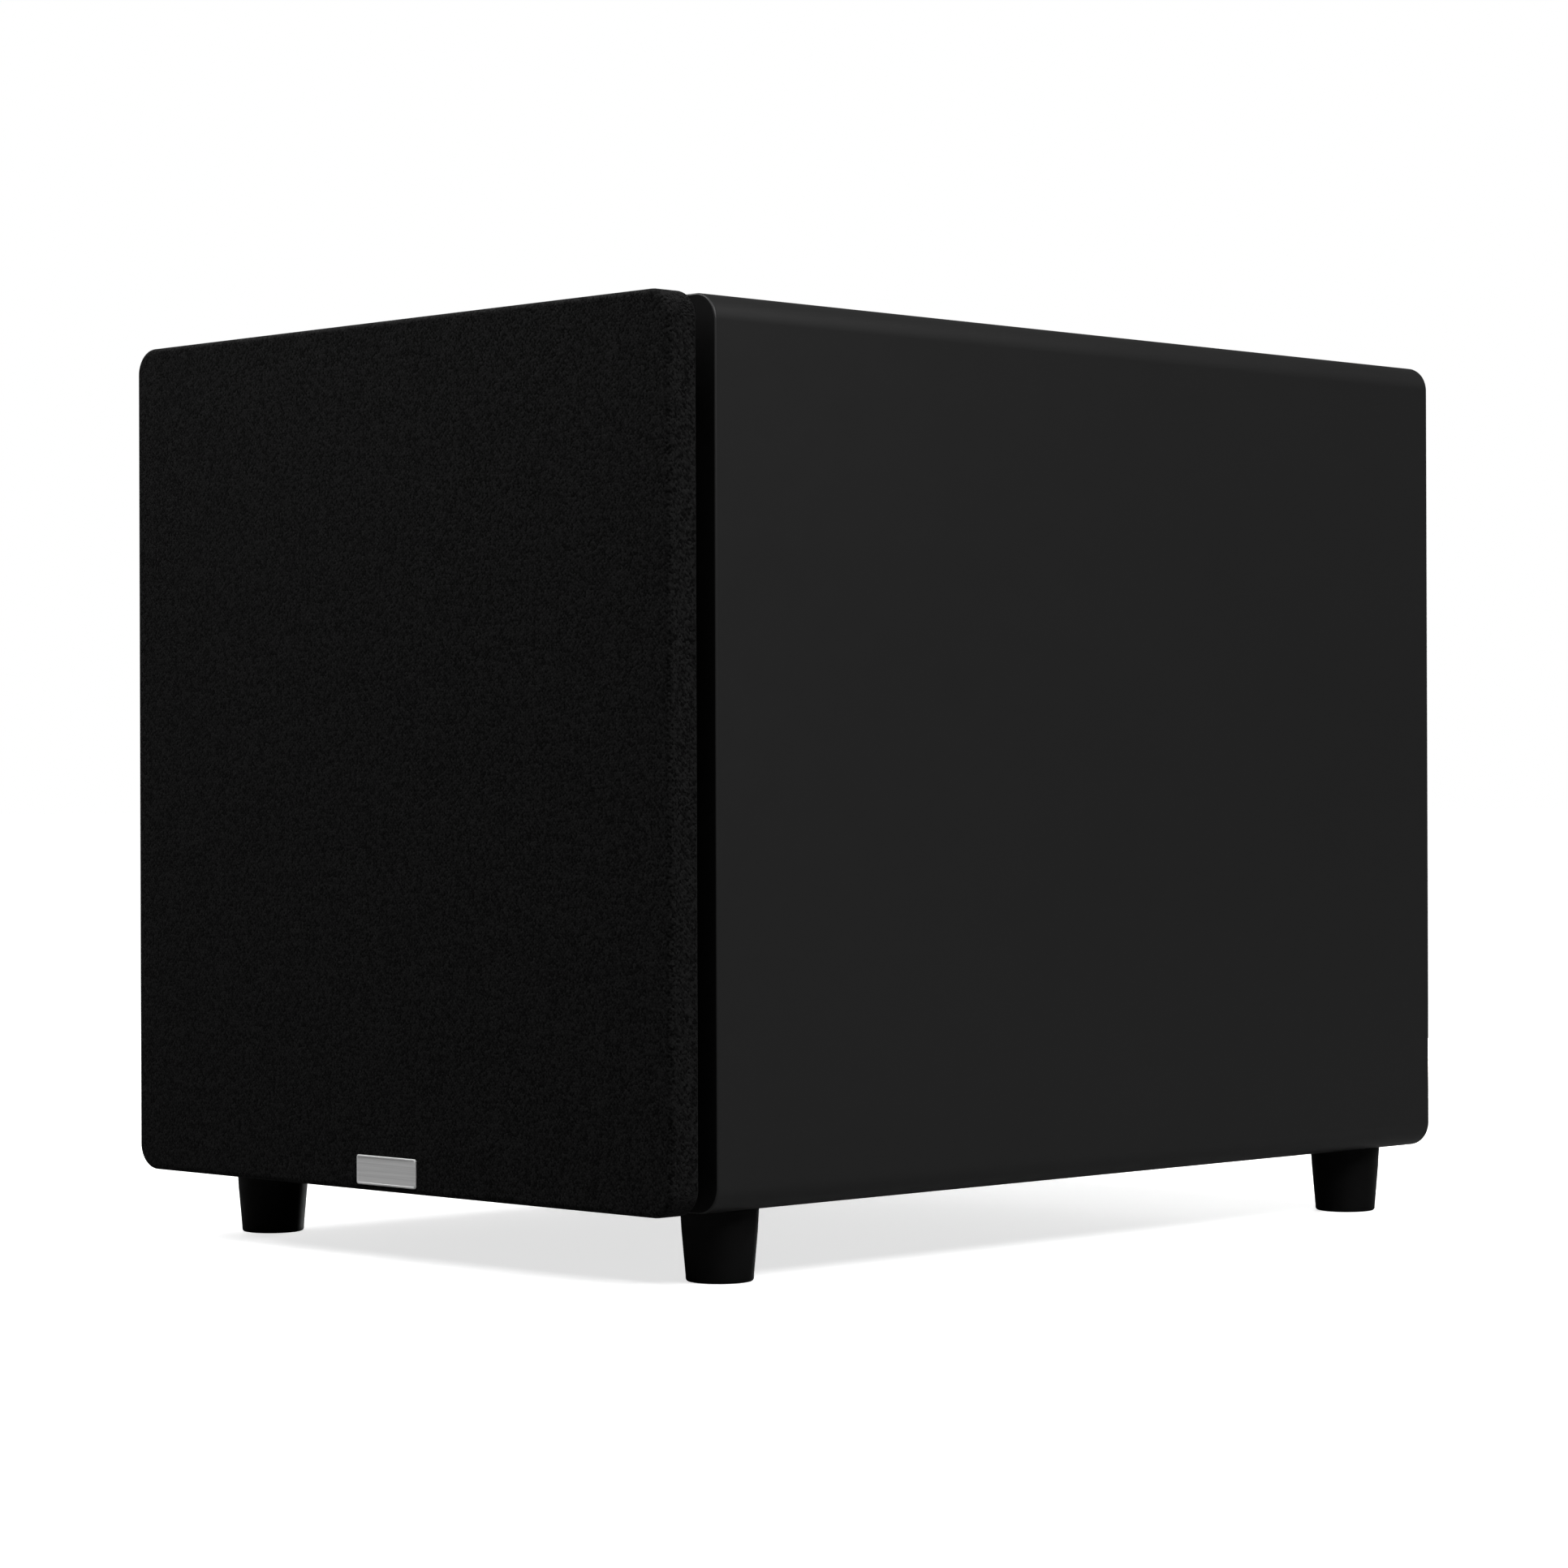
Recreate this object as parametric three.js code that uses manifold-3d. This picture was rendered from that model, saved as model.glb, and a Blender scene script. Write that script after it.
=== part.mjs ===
// A powered home-theatre subwoofer: a vented MDF cabinet on four tapered feet, with a 12-inch woofer
// behind a removable cloth grille, and a plate amplifier with its controls and sockets on the back.
// Millimetres, +Z up. The grille faces -Y. The origin is on the floor, under the middle of the object.

import * as THREE from "three";
import { mergeVertices } from "three/addons/utils/BufferGeometryUtils.js";
import Module from "manifold-3d";

const wasm = await Module();
wasm.setup();

// ---------------------------------------------------------------- driving dimensions

const CABINET = { width: 370, height: 390, depth: 495, wall: 18, baffle: 25, corner: 12 };
const FOOT = { height: 32, topRadius: 17.4, bottomRadius: 14.8, inset: 30 };
const GRILLE = { thickness: 16.5, standOff: 10.5, cloth: 0.7, hem: 14 };
const BADGE = { width: 41, height: 13.2, thickness: 1, aboveEdge: 2.8 };
const CONTROLS_PROUD = 13; // how far the knobs stand out of the cabinet's back
const GAP = 0.3; // between pieces that touch on the real object
const THIN_GAP = 0.1; // the same, where two pieces are pressed flat together

const DRIVER = {
  flange: 155.5, // basket flange's outer radius
  rebate: 6, // depth of the seat cut for the flange
  cutout: 141, // radius of the hole behind it
  roll: 128, // radius to the crown of the surround's half roll
  rollRadius: 10.5,
  coneRim: 117.5,
  formerRadius: 31.3,
};
const PORT = { bore: 38, wall: 3, flare: 52, flangeRadius: 60, length: 170, behindFront: 330 };
const PLATE = { width: 250, height: 310, thickness: 3, corner: 8, gasket: 1.5 };

// ---------------------------------------------------------------- planes worked out from them

const OVERALL_DEPTH =
  BADGE.thickness + GRILLE.thickness + GRILLE.standOff + CABINET.depth + CONTROLS_PROUD;
const GRILLE_FRONT = -OVERALL_DEPTH / 2 + BADGE.thickness;
const GRILLE_BACK = GRILLE_FRONT + GRILLE.thickness;
const FRONT = GRILLE_BACK + GRILLE.standOff; // the cabinet's front plane
const REAR = FRONT + CABINET.depth; // the cabinet's back plane
const UNDERSIDE = FOOT.height;
const FLOOR_PANEL_TOP = UNDERSIDE + CABINET.wall;
const AXIS_Z = UNDERSIDE + CABINET.height / 2; // height of the woofer's axis
const INNER_WIDTH = CABINET.width - 2 * CABINET.wall;
const INNER_HEIGHT = CABINET.height - 2 * CABINET.wall;
const PLATE_BACK = REAR + PLATE.gasket; // the amplifier plate's hidden face
const PLATE_FACE = PLATE_BACK + PLATE.thickness; // the face with the controls on it

const ROUND = 40; // sides of the large round pieces
const SMALL_ROUND = 16;
const TINY_ROUND = 12;

// ---------------------------------------------------------------- materials

const finish = (color, roughness, metalness = 0) =>
  new THREE.MeshStandardMaterial({ color, roughness, metalness });

const materials = {
  lacquer: finish(0x262628, 0.55),
  board: finish(0x8a6a48, 0.9),
  baffle: finish(0x101011, 0.8),
  cloth: finish(0x0e0e0f, 1),
  rubber: finish(0x0b0b0c, 0.7),
  plastic: finish(0x111113, 0.5),
  steel: finish(0xb4b6ba, 0.35, 1),
  castAlloy: finish(0x2a2b2d, 0.6, 0.8),
  badge: finish(0x9c9ea0, 0.4, 0.9),
  ferrite: finish(0x1d1d20, 0.65),
  paper: finish(0x18181a, 0.85),
  coil: finish(0xa8552c, 0.4, 0.9),
  spider: finish(0xc2993f, 0.95),
  plate: finish(0x151517, 0.5, 0.6),
  anodised: finish(0x0f0f11, 0.4, 0.8),
  circuit: finish(0x14502c, 0.5),
  winding: finish(0xb7702c, 0.45, 0.4),
  sleeve: finish(0x202428, 0.35),
  gold: finish(0xcaa24a, 0.3, 1),
  lens: finish(0x2f78d8, 0.2),
  wadding: finish(0xd9d6cf, 1),
  lever: finish(0xa61f1c, 0.45),
};

// ---------------------------------------------------------------- geometry helpers

function solidOf(geometry) {
  const bare = new THREE.BufferGeometry();
  bare.setAttribute("position", geometry.getAttribute("position"));
  bare.setIndex(geometry.index);
  const merged = mergeVertices(bare, 1e-4);
  return new wasm.Manifold(
    new wasm.Mesh({
      numProp: 3,
      vertProperties: new Float32Array(merged.attributes.position.array),
      triVerts: new Uint32Array(merged.index.array),
    }),
  );
}

function geometryOf(solid) {
  const { vertProperties, triVerts } = solid.getMesh();
  const geometry = new THREE.BufferGeometry();
  geometry.setAttribute("position", new THREE.BufferAttribute(vertProperties, 3));
  geometry.setIndex(new THREE.BufferAttribute(triVerts, 1));
  const faceted = geometry.toNonIndexed();
  faceted.computeVertexNormals();
  return faceted;
}

const cut = (base, ...tools) =>
  geometryOf(tools.reduce((left, tool) => left.subtract(solidOf(tool)), solidOf(base)));

const join = (first, ...others) =>
  geometryOf(others.reduce((sum, other) => sum.add(solidOf(other)), solidOf(first)));

// A box between two corners.
function box(low, high) {
  const size = high.map((value, axis) => value - low[axis]);
  const centre = high.map((value, axis) => (value + low[axis]) / 2);
  return new THREE.BoxGeometry(...size).translate(...centre);
}

// A rectangle with round corners, centred on (x, z).
function roundedRectangle(width, height, radius, x = 0, z = 0) {
  const right = x + width / 2 - radius;
  const left = x - width / 2 + radius;
  const top = z + height / 2 - radius;
  const bottom = z - height / 2 + radius;
  const outline = new THREE.Shape();
  outline.absarc(right, top, radius, 0, Math.PI / 2);
  outline.absarc(left, top, radius, Math.PI / 2, Math.PI);
  outline.absarc(left, bottom, radius, Math.PI, 1.5 * Math.PI);
  outline.absarc(right, bottom, radius, 1.5 * Math.PI, 2 * Math.PI);
  outline.closePath();
  return outline;
}

// An outline drawn in X and Z, made solid from one Y to another.
function slab(outline, fromY, toY) {
  const made = new THREE.ExtrudeGeometry(outline, {
    depth: toY - fromY,
    bevelEnabled: false,
    curveSegments: 4,
  });
  return made.rotateX(Math.PI / 2).translate(0, toY, 0);
}

const roundedSlab = (width, height, radius, fromY, toY, x = 0, z = AXIS_Z) =>
  slab(roundedRectangle(width, height, radius, x, z), fromY, toY);

// An outline of [y, z] points, made solid across X about a centre.
function crossPiece(points, width, x) {
  const outline = new THREE.Shape(points.map(([y, z]) => new THREE.Vector2(y, z)));
  const made = new THREE.ExtrudeGeometry(outline, { depth: width, bevelEnabled: false });
  return made.rotateY(Math.PI / 2).rotateX(Math.PI / 2).translate(x - width / 2, 0, 0);
}

// A closed profile of [radius, height] points, turned about the Y axis, whichever way it was drawn.
function turned(profile, sides = ROUND) {
  const points = profile.map(([radius, height]) => new THREE.Vector2(radius, height));
  if (THREE.ShapeUtils.area(points) < 0) points.reverse();
  return new THREE.LatheGeometry([...points, points[0]], sides);
}

// The same, along Y through (x, z), and along Z through (x, y).
const turnedAlongY = (profile, x, z, sides) => turned(profile, sides).translate(x, 0, z);
const turnedAlongZ = (profile, x, y, sides) =>
  turned(profile, sides).rotateX(Math.PI / 2).translate(x, y, 0);

const rodAlongY = (radius, fromY, toY, x, z, sides = SMALL_ROUND) =>
  turnedAlongY([[0, fromY], [radius, fromY], [radius, toY], [0, toY]], x, z, sides);

const rodAlongZ = (radius, fromZ, toZ, x, y, sides = SMALL_ROUND) =>
  turnedAlongZ([[0, fromZ], [radius, fromZ], [radius, toZ], [0, toZ]], x, y, sides);

// Points on an arc, for use inside a profile. Angles are in degrees.
function arc(centreX, centreY, radius, fromDegrees, toDegrees, steps) {
  return Array.from({ length: steps + 1 }, (_, i) => {
    const angle = THREE.MathUtils.degToRad(fromDegrees + ((toDegrees - fromDegrees) * i) / steps);
    return [centreX + radius * Math.cos(angle), centreY + radius * Math.sin(angle)];
  });
}

const subwoofer = new THREE.Group();

function add(name, geometry, material) {
  const mesh = new THREE.Mesh(geometry, material);
  mesh.name = name;
  subwoofer.add(mesh);
  return mesh;
}

const CORNERS = [
  ["front_left", -1, -1],
  ["front_right", 1, -1],
  ["rear_left", -1, 1],
  ["rear_right", 1, 1],
];
const GRILLE_CORNERS = [
  ["top_left", -1, 1],
  ["top_right", 1, 1],
  ["bottom_left", -1, -1],
  ["bottom_right", 1, -1],
];

// ---------------------------------------------------------------- cabinet

function addCabinet() {
  const portY = FRONT + PORT.behindFront;
  const outline = roundedRectangle(CABINET.width, CABINET.height, CABINET.corner, 0, AXIS_Z);
  outline.holes.push(roundedRectangle(INNER_WIDTH, INNER_HEIGHT, 2, 0, AXIS_Z));
  const portHole = rodAlongZ(PORT.flare + 1, UNDERSIDE - 1, FLOOR_PANEL_TOP + 1, 0, portY, ROUND);
  add("cabinet_shell", cut(slab(outline, FRONT, REAR), portHole), materials.lacquer);

  const panelWidth = INNER_WIDTH - 2 * GAP;
  const panelHeight = INNER_HEIGHT - 2 * GAP;
  const socketHoles = GRILLE_CORNERS.map(([, sideX, sideZ]) =>
    rodAlongY(5.5, FRONT - 1, FRONT + 17, sideX * PEG_X, AXIS_Z + sideZ * PEG_Z, TINY_ROUND),
  );
  add(
    "front_baffle",
    cut(
      roundedSlab(panelWidth, panelHeight, 2, FRONT, FRONT + CABINET.baffle),
      rodAlongY(DRIVER.cutout, FRONT - 1, FRONT + CABINET.baffle + 1, 0, AXIS_Z, ROUND),
      rodAlongY(DRIVER.flange + 0.8, FRONT - 1, FRONT + DRIVER.rebate, 0, AXIS_Z, ROUND),
      ...socketHoles,
    ),
    materials.baffle,
  );

  const rearFront = REAR - CABINET.wall;
  add(
    "rear_panel",
    cut(
      roundedSlab(panelWidth, panelHeight, 2, rearFront, REAR),
      roundedSlab(PLATE.width - 32, PLATE.height - 32, 6, rearFront - 1, REAR + 1),
    ),
    materials.lacquer,
  );

  const braceFront = FRONT + 215;
  const window = { width: 128, height: 138, x: 82, z: 87 };
  add(
    "window_brace",
    cut(
      roundedSlab(panelWidth, panelHeight, 2, braceFront, braceFront + CABINET.wall),
      ...GRILLE_CORNERS.map(([, sideX, sideZ]) =>
        roundedSlab(window.width, window.height, 20, braceFront - 1, braceFront + 19,
          sideX * window.x, AXIS_Z + sideZ * window.z),
      ),
    ),
    materials.board,
  );

  const ceiling = FLOOR_PANEL_TOP + INNER_HEIGHT - GAP;
  add(
    "wadding",
    box([-150, FRONT + 245, ceiling - 40], [150, FRONT + 435, ceiling]),
    materials.wadding,
  );
}

// The bass-reflex port: a flange under the floor panel, a flared mouth and a straight tube.
function addPort() {
  const mouthZ = UNDERSIDE - 3;
  const flareHeight = 18;
  const topZ = FLOOR_PANEL_TOP + PORT.length;
  const outer = PORT.bore + PORT.wall;
  const flareRun = PORT.flare - PORT.bore - PORT.wall;
  const quarter = (steps, radiusOut, radiusUp, offset) =>
    Array.from({ length: steps + 1 }, (_, i) => {
      const angle = ((Math.PI / 2) * i) / steps;
      return [
        offset + radiusOut * (1 - Math.sin(angle)),
        mouthZ + radiusUp * (1 - Math.cos(angle)),
      ];
    });
  const profile = [
    [PORT.flangeRadius, UNDERSIDE - THIN_GAP],
    [PORT.flangeRadius, mouthZ],
    ...quarter(5, flareRun, flareHeight, PORT.bore),
    [PORT.bore, topZ],
    [outer, topZ],
    [outer, FLOOR_PANEL_TOP + 2],
    [PORT.flare - 1, UNDERSIDE + 3],
    [PORT.flare - 1, UNDERSIDE - THIN_GAP],
  ];
  add("port_tube", turnedAlongZ(profile, 0, FRONT + PORT.behindFront, ROUND), materials.plastic);
}

function addFeet() {
  const { height, topRadius, bottomRadius, inset } = FOOT;
  const profile = [
    [2.6, 24],
    [4.5, 24],
    [4.5, 0],
    [bottomRadius - 1.8, 0],
    [bottomRadius - 0.5, 0.6],
    [bottomRadius, 2],
    [topRadius, height - THIN_GAP],
    [2.6, height - THIN_GAP],
  ];
  for (const [place, sideX, sideY] of CORNERS) {
    const y = sideY < 0 ? FRONT + inset : REAR - inset;
    const x = sideX * (CABINET.width / 2 - inset);
    add(`foot_${place}`, turnedAlongZ(profile, x, y, 20), materials.rubber);
  }
}

// ---------------------------------------------------------------- woofer
// Its profiles are [radius, depth behind the cabinet's front plane].

const wooferPart = (profile, sides = ROUND) =>
  turned(profile.map(([radius, depth]) => [radius, FRONT + depth]), sides).translate(0, 0, AXIS_Z);

// A basket window: a sector between two radii, cut straight through along Y.
function sectorCut(innerRadius, outerRadius, centreDegrees, spanDegrees, fromDepth, toDepth) {
  const start = THREE.MathUtils.degToRad(centreDegrees - spanDegrees / 2);
  const end = THREE.MathUtils.degToRad(centreDegrees + spanDegrees / 2);
  const outline = new THREE.Shape();
  outline.absarc(0, AXIS_Z, outerRadius, start, end, false);
  outline.absarc(0, AXIS_Z, innerRadius, end, start, true);
  outline.closePath();
  return slab(outline, FRONT + fromDepth, FRONT + toDepth);
}

function addWooferFrame() {
  const basket = wooferPart([
    [136, 2],
    [DRIVER.flange, 2],
    [DRIVER.flange, DRIVER.rebate - THIN_GAP],
    [140.3, DRIVER.rebate - THIN_GAP],
    [139, 12],
    [80.5, 84],
    [71, 92],
    [36.5, 92],
    [36.5, 88],
    [68, 88],
    [76.5, 82],
    [89.8, 66],
    [84, 63],
    [84, 60],
    [94.8, 60],
    [135.5, 11],
  ]);
  const windows = [0, 1, 2, 3, 4, 5].map((i) => sectorCut(99, 131, 60 * i, 42, 8, 59));
  add("driver_basket", cut(basket, ...windows), materials.castAlloy);
  add(
    "driver_gasket",
    wooferPart([[139.9, -2.5], [147, -2.5], [147, 0], [139.9, 0]]),
    materials.rubber,
  );

  const tagZ = AXIS_Z + 100;
  const tagBlock = box([-16, FRONT + 68, tagZ - 6], [16, FRONT + 76, tagZ + 4]);
  const blades = [-8, 8].map((x) =>
    box([x - 3, FRONT + 75, tagZ - 1.4], [x + 3, FRONT + 88, tagZ - 0.6]),
  );
  add("driver_terminals", join(tagBlock, ...blades), materials.gold);
}

function addMotor() {
  add(
    "top_plate",
    wooferPart([[35, 92 + THIN_GAP], [66, 92 + THIN_GAP], [66, 100], [35, 100]]),
    materials.steel,
  );
  add(
    "ring_magnet",
    wooferPart([[44, 100 + THIN_GAP], [76, 100 + THIN_GAP], [76, 126], [44, 126]]),
    materials.ferrite,
  );
  add(
    "pole_yoke",
    wooferPart([
      [8, 90],
      [30.5, 90],
      [30.5, 126 + THIN_GAP],
      [66, 126 + THIN_GAP],
      [66, 131],
      [63, 134],
      [8, 134],
    ]),
    materials.steel,
  );
}

function addMovingAssembly() {
  const { roll, rollRadius, coneRim, formerRadius } = DRIVER;
  add(
    "cone",
    wooferPart([
      [coneRim, 1.5],
      [112, 3],
      [32.7, 54],
      [32.7, 56.2],
      [113, 4.9],
      [coneRim, 3.1],
    ]),
    materials.paper,
  );

  const cap = { radius: 56, rimDepth: 38.4, crownDepth: 16, thickness: 1.2 };
  const rise = cap.rimDepth - cap.crownDepth;
  const sphere = (cap.radius ** 2 + rise ** 2) / (2 * rise);
  const halfAngle = THREE.MathUtils.radToDeg(Math.asin(cap.radius / sphere));
  const centreDepth = cap.crownDepth + sphere;
  const domeAt = (radius, from, to) => arc(0, centreDepth, radius, from, to, 6);
  add(
    "dust_cap",
    wooferPart(
      [
        ...domeAt(sphere, 270, 270 + halfAngle),
        ...domeAt(sphere - cap.thickness, 270 + halfAngle, 270),
      ].map(([radius, depth]) => [Math.max(0, radius), depth]),
      SMALL_ROUND * 2,
    ),
    materials.paper,
  );

  add(
    "voice_coil",
    wooferPart(
      [
        [formerRadius, 46],
        [formerRadius + 1, 46],
        [formerRadius + 1, 84],
        [formerRadius + 2.9, 84],
        [formerRadius + 2.9, 108],
        [formerRadius + 1, 108],
        [formerRadius + 1, 112],
        [formerRadius, 112],
      ],
      32,
    ),
    materials.coil,
  );

  const lipDepth = 0.7; // the middle of the rubber's thickness at its flat lips
  const half = 0.5;
  add(
    "surround",
    wooferPart([
      [113, lipDepth - half],
      ...arc(roll, lipDepth - half, rollRadius + half, 180, 360, 7),
      [146, lipDepth - half],
      [146, lipDepth + half],
      ...arc(roll, lipDepth + half, rollRadius - half, 360, 180, 7),
      [113, lipDepth + half],
    ]),
    materials.rubber,
  );
  add("spider", wooferPart([[32.6, 58.4], [90, 58.4], [90, 59.8], [32.6, 59.8]], 32), materials.spider);
}

// ---------------------------------------------------------------- grille

const PEG_X = 152;
const PEG_Z = 162;

function addGrille() {
  const { cloth, hem } = GRILLE;
  const skin = cloth + 0.2; // the cloth and the slack that keeps it off the frame
  const frame = cut(
    roundedSlab(CABINET.width - 2 * skin, CABINET.height - 2 * skin, CABINET.corner - skin,
      GRILLE_FRONT + skin, GRILLE_BACK - skin),
    roundedSlab(320, 340, 60, GRILLE_FRONT - 1, GRILLE_BACK + 1),
    ...GRILLE_CORNERS.map(([, sideX, sideZ]) =>
      rodAlongY(3.3, GRILLE_BACK - 10, GRILLE_BACK + 1, sideX * PEG_X, AXIS_Z + sideZ * PEG_Z, TINY_ROUND),
    ),
  );
  add("grille_frame", frame, materials.baffle);

  // The cloth in two nodes: the sheet stretched over the front, and what folds round the frame.
  add(
    "grille_cloth",
    roundedSlab(CABINET.width, CABINET.height, CABINET.corner, GRILLE_FRONT, GRILLE_FRONT + cloth),
    materials.cloth,
  );
  const foldFront = GRILLE_FRONT + cloth + 0.05;
  add(
    "cloth_fold",
    cut(
      roundedSlab(CABINET.width, CABINET.height, CABINET.corner, foldFront, GRILLE_BACK),
      roundedSlab(CABINET.width - 2 * cloth, CABINET.height - 2 * cloth, CABINET.corner - cloth,
        foldFront - 1, GRILLE_BACK - cloth),
      roundedSlab(CABINET.width - 2 * hem, CABINET.height - 2 * hem, 6, foldFront, GRILLE_BACK + 1),
    ),
    materials.cloth,
  );

  const badgeBottom = UNDERSIDE + BADGE.aboveEdge;
  add(
    "badge",
    box(
      [-BADGE.width / 2, GRILLE_FRONT - BADGE.thickness, badgeBottom],
      [BADGE.width / 2, GRILLE_FRONT - 0.05, badgeBottom + BADGE.height],
    ),
    materials.badge,
  );

  const pegFront = GRILLE_BACK - 9.5;
  const collarFront = GRILLE_BACK - skin + THIN_GAP;
  const pegTip = FRONT + 13;
  const socketFloor = FRONT + 14;
  const socketEnd = FRONT + 16;
  for (const [place, sideX, sideZ] of GRILLE_CORNERS) {
    const x = sideX * PEG_X;
    const z = AXIS_Z + sideZ * PEG_Z;
    add(
      `grille_peg_${place}`,
      turnedAlongY(
        [
          [0, pegFront],
          [3, pegFront],
          [3, collarFront],
          [6, collarFront],
          [6, collarFront + 2],
          [3, collarFront + 2],
          [3, pegTip - 1.5],
          [1.8, pegTip],
          [0, pegTip],
        ],
        x, z, TINY_ROUND,
      ),
      materials.plastic,
    );
    add(
      `grille_socket_${place}`,
      turnedAlongY(
        [
          [3.4, FRONT - 1.5],
          [8, FRONT - 1.5],
          [8, FRONT - THIN_GAP],
          [5.2, FRONT - THIN_GAP],
          [5.2, socketEnd],
          [0, socketEnd],
          [0, socketFloor],
          [3.4, socketFloor],
        ],
        x, z, TINY_ROUND,
      ),
      materials.rubber,
    );
  }
}

// ---------------------------------------------------------------- amplifier
// Where each control and socket sits on the plate, as [x, z].

const AT = {
  volume: [84, 350],
  crossover: [38, 350],
  phase: [-12, 350],
  mode: [-52, 350],
  led: [-92, 350],
  jacks: [66, 300],
  terminals: [-62, 300],
  heatSink: [0, 222],
  inlet: [72, 122],
  power: [24, 122],
  transformer: [-52, 144],
};
const JACK_SPACING = 20;
const JACK_OFFSETS = [-1.5, -0.5, 0.5, 1.5].map((step) => step * JACK_SPACING);
const LEVER_SPACING = 19;
const LEVER_OFFSETS = [-1.5, -0.5, 0.5, 1.5].map((step) => step * LEVER_SPACING);
const SLIDER = { nub: 3.6, travel: 4.5, clearance: 0.3 };
const BOARD_FACE = PLATE_BACK - 9; // where the controls' own circuit board begins

function addPlate() {
  const holeFrom = PLATE_BACK - 1;
  const holeTo = PLATE_FACE + 1;
  const roundHole = (radius, [x, z]) => rodAlongY(radius, holeFrom, holeTo, x, z, TINY_ROUND);
  const squareHole = (width, height, [x, z]) =>
    box([x - width / 2, holeFrom, z - height / 2], [x + width / 2, holeTo, z + height / 2]);
  const slotLength = SLIDER.nub + SLIDER.travel + 2 * SLIDER.clearance;
  const slotHeight = SLIDER.nub + 2 * SLIDER.clearance;
  const slotFor = ([x, z]) => squareHole(slotLength, slotHeight, [x + SLIDER.travel / 2, z]);
  add(
    "amp_plate",
    cut(
      roundedSlab(PLATE.width, PLATE.height, PLATE.corner, PLATE_BACK, PLATE_FACE),
      roundHole(4, AT.volume),
      roundHole(4, AT.crossover),
      roundHole(2.8, AT.led),
      slotFor(AT.phase),
      slotFor(AT.mode),
      squareHole(80.6, 16.6, AT.jacks),
      squareHole(78.6, 28.6, AT.terminals),
      squareHole(26.6, 46.6, AT.inlet),
      squareHole(20, 29, AT.power),
      roundHole(3.4, AT.transformer),
    ),
    materials.plate,
  );
  add(
    "amp_gasket",
    cut(
      roundedSlab(PLATE.width - 4, PLATE.height - 4, 7, REAR + THIN_GAP, PLATE_BACK - THIN_GAP),
      roundedSlab(PLATE.width - 28, PLATE.height - 28, 6, REAR - 1, PLATE_FACE),
    ),
    materials.rubber,
  );

  // Fins run upwards on a thin base, as on an aluminium extrusion.
  const fins = { count: 17, pitch: 11, thick: 1.8, base: 2.5, tip: CONTROLS_PROUD - 0.5, height: 92 };
  const baseBack = PLATE_FACE + THIN_GAP;
  const baseFront = baseBack + fins.base;
  const tipY = REAR + fins.tip;
  const halfWidth = ((fins.count - 1) * fins.pitch + fins.thick) / 2;
  const comb = new THREE.Shape();
  comb.moveTo(-halfWidth, baseBack);
  comb.lineTo(halfWidth, baseBack);
  for (let i = fins.count - 1; i >= 0; i -= 1) {
    const x = (i - (fins.count - 1) / 2) * fins.pitch;
    comb.lineTo(x + fins.thick / 2, i === fins.count - 1 ? baseBack + 0.01 : baseFront);
    comb.lineTo(x + fins.thick / 2, tipY);
    comb.lineTo(x - fins.thick / 2, tipY);
    if (i > 0) comb.lineTo(x - fins.thick / 2, baseFront);
  }
  const sink = new THREE.ExtrudeGeometry(comb, { depth: fins.height, bevelEnabled: false });
  add("heat_sink", sink.translate(0, 0, AT.heatSink[1] - fins.height / 2), materials.anodised);
}

// The controls stand on a small board of their own, behind the plate.
function addControls() {
  const boardBack = BOARD_FACE - THIN_GAP;
  add("control_board", box([-102, boardBack - 1.6, 335], [102, boardBack, 365]), materials.circuit);

  const knobBack = PLATE_FACE + 0.6;
  const knobFace = REAR + CONTROLS_PROUD;
  for (const [name, [x, z]] of [["volume", AT.volume], ["crossover", AT.crossover]]) {
    const knob = turnedAlongY(
      [
        [0, PLATE_BACK - 7],
        [3, PLATE_BACK - 7],
        [3, knobBack],
        [11, knobBack],
        [11, knobBack + 2],
        [9.6, knobBack + 2.6],
        [9, knobFace - 0.8],
        [8.2, knobFace],
        [0, knobFace],
      ],
      x, z, 24,
    );
    const pointer = box([x - 0.6, knobFace - 0.7, z + 2], [x + 0.6, knobFace + 1, z + 10]);
    add(`${name}_knob`, cut(knob, pointer), materials.plastic);
    const pot = box([x - 8, BOARD_FACE, z - 8], [x + 8, PLATE_BACK - 0.5, z + 8]);
    const shaftHole = rodAlongY(3.3, PLATE_BACK - 7.5, PLATE_BACK, x, z, TINY_ROUND);
    add(`${name}_pot`, cut(pot, shaftHole), materials.steel);
  }

  for (const [name, [x, z]] of [["phase", AT.phase], ["mode", AT.mode]]) {
    const reach = SLIDER.nub / 2;
    const nub = box([x - reach, PLATE_BACK - 1, z - reach], [x + reach, PLATE_FACE + 2.6, z + reach]);
    const shoe = box([x - 4, BOARD_FACE, z - 4], [x + 4, PLATE_BACK - 0.4, z + 4]);
    add(`${name}_slider`, join(shoe, nub), materials.plastic);
  }

  const [ledX, ledZ] = AT.led;
  add(
    "status_led",
    turnedAlongY(
      [
        [0, BOARD_FACE],
        [2.5, BOARD_FACE],
        [2.5, PLATE_FACE + 1],
        [1.6, PLATE_FACE + 2.2],
        [0, PLATE_FACE + 2.6],
      ],
      ledX, ledZ, TINY_ROUND,
    ),
    materials.lens,
  );
}

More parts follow.
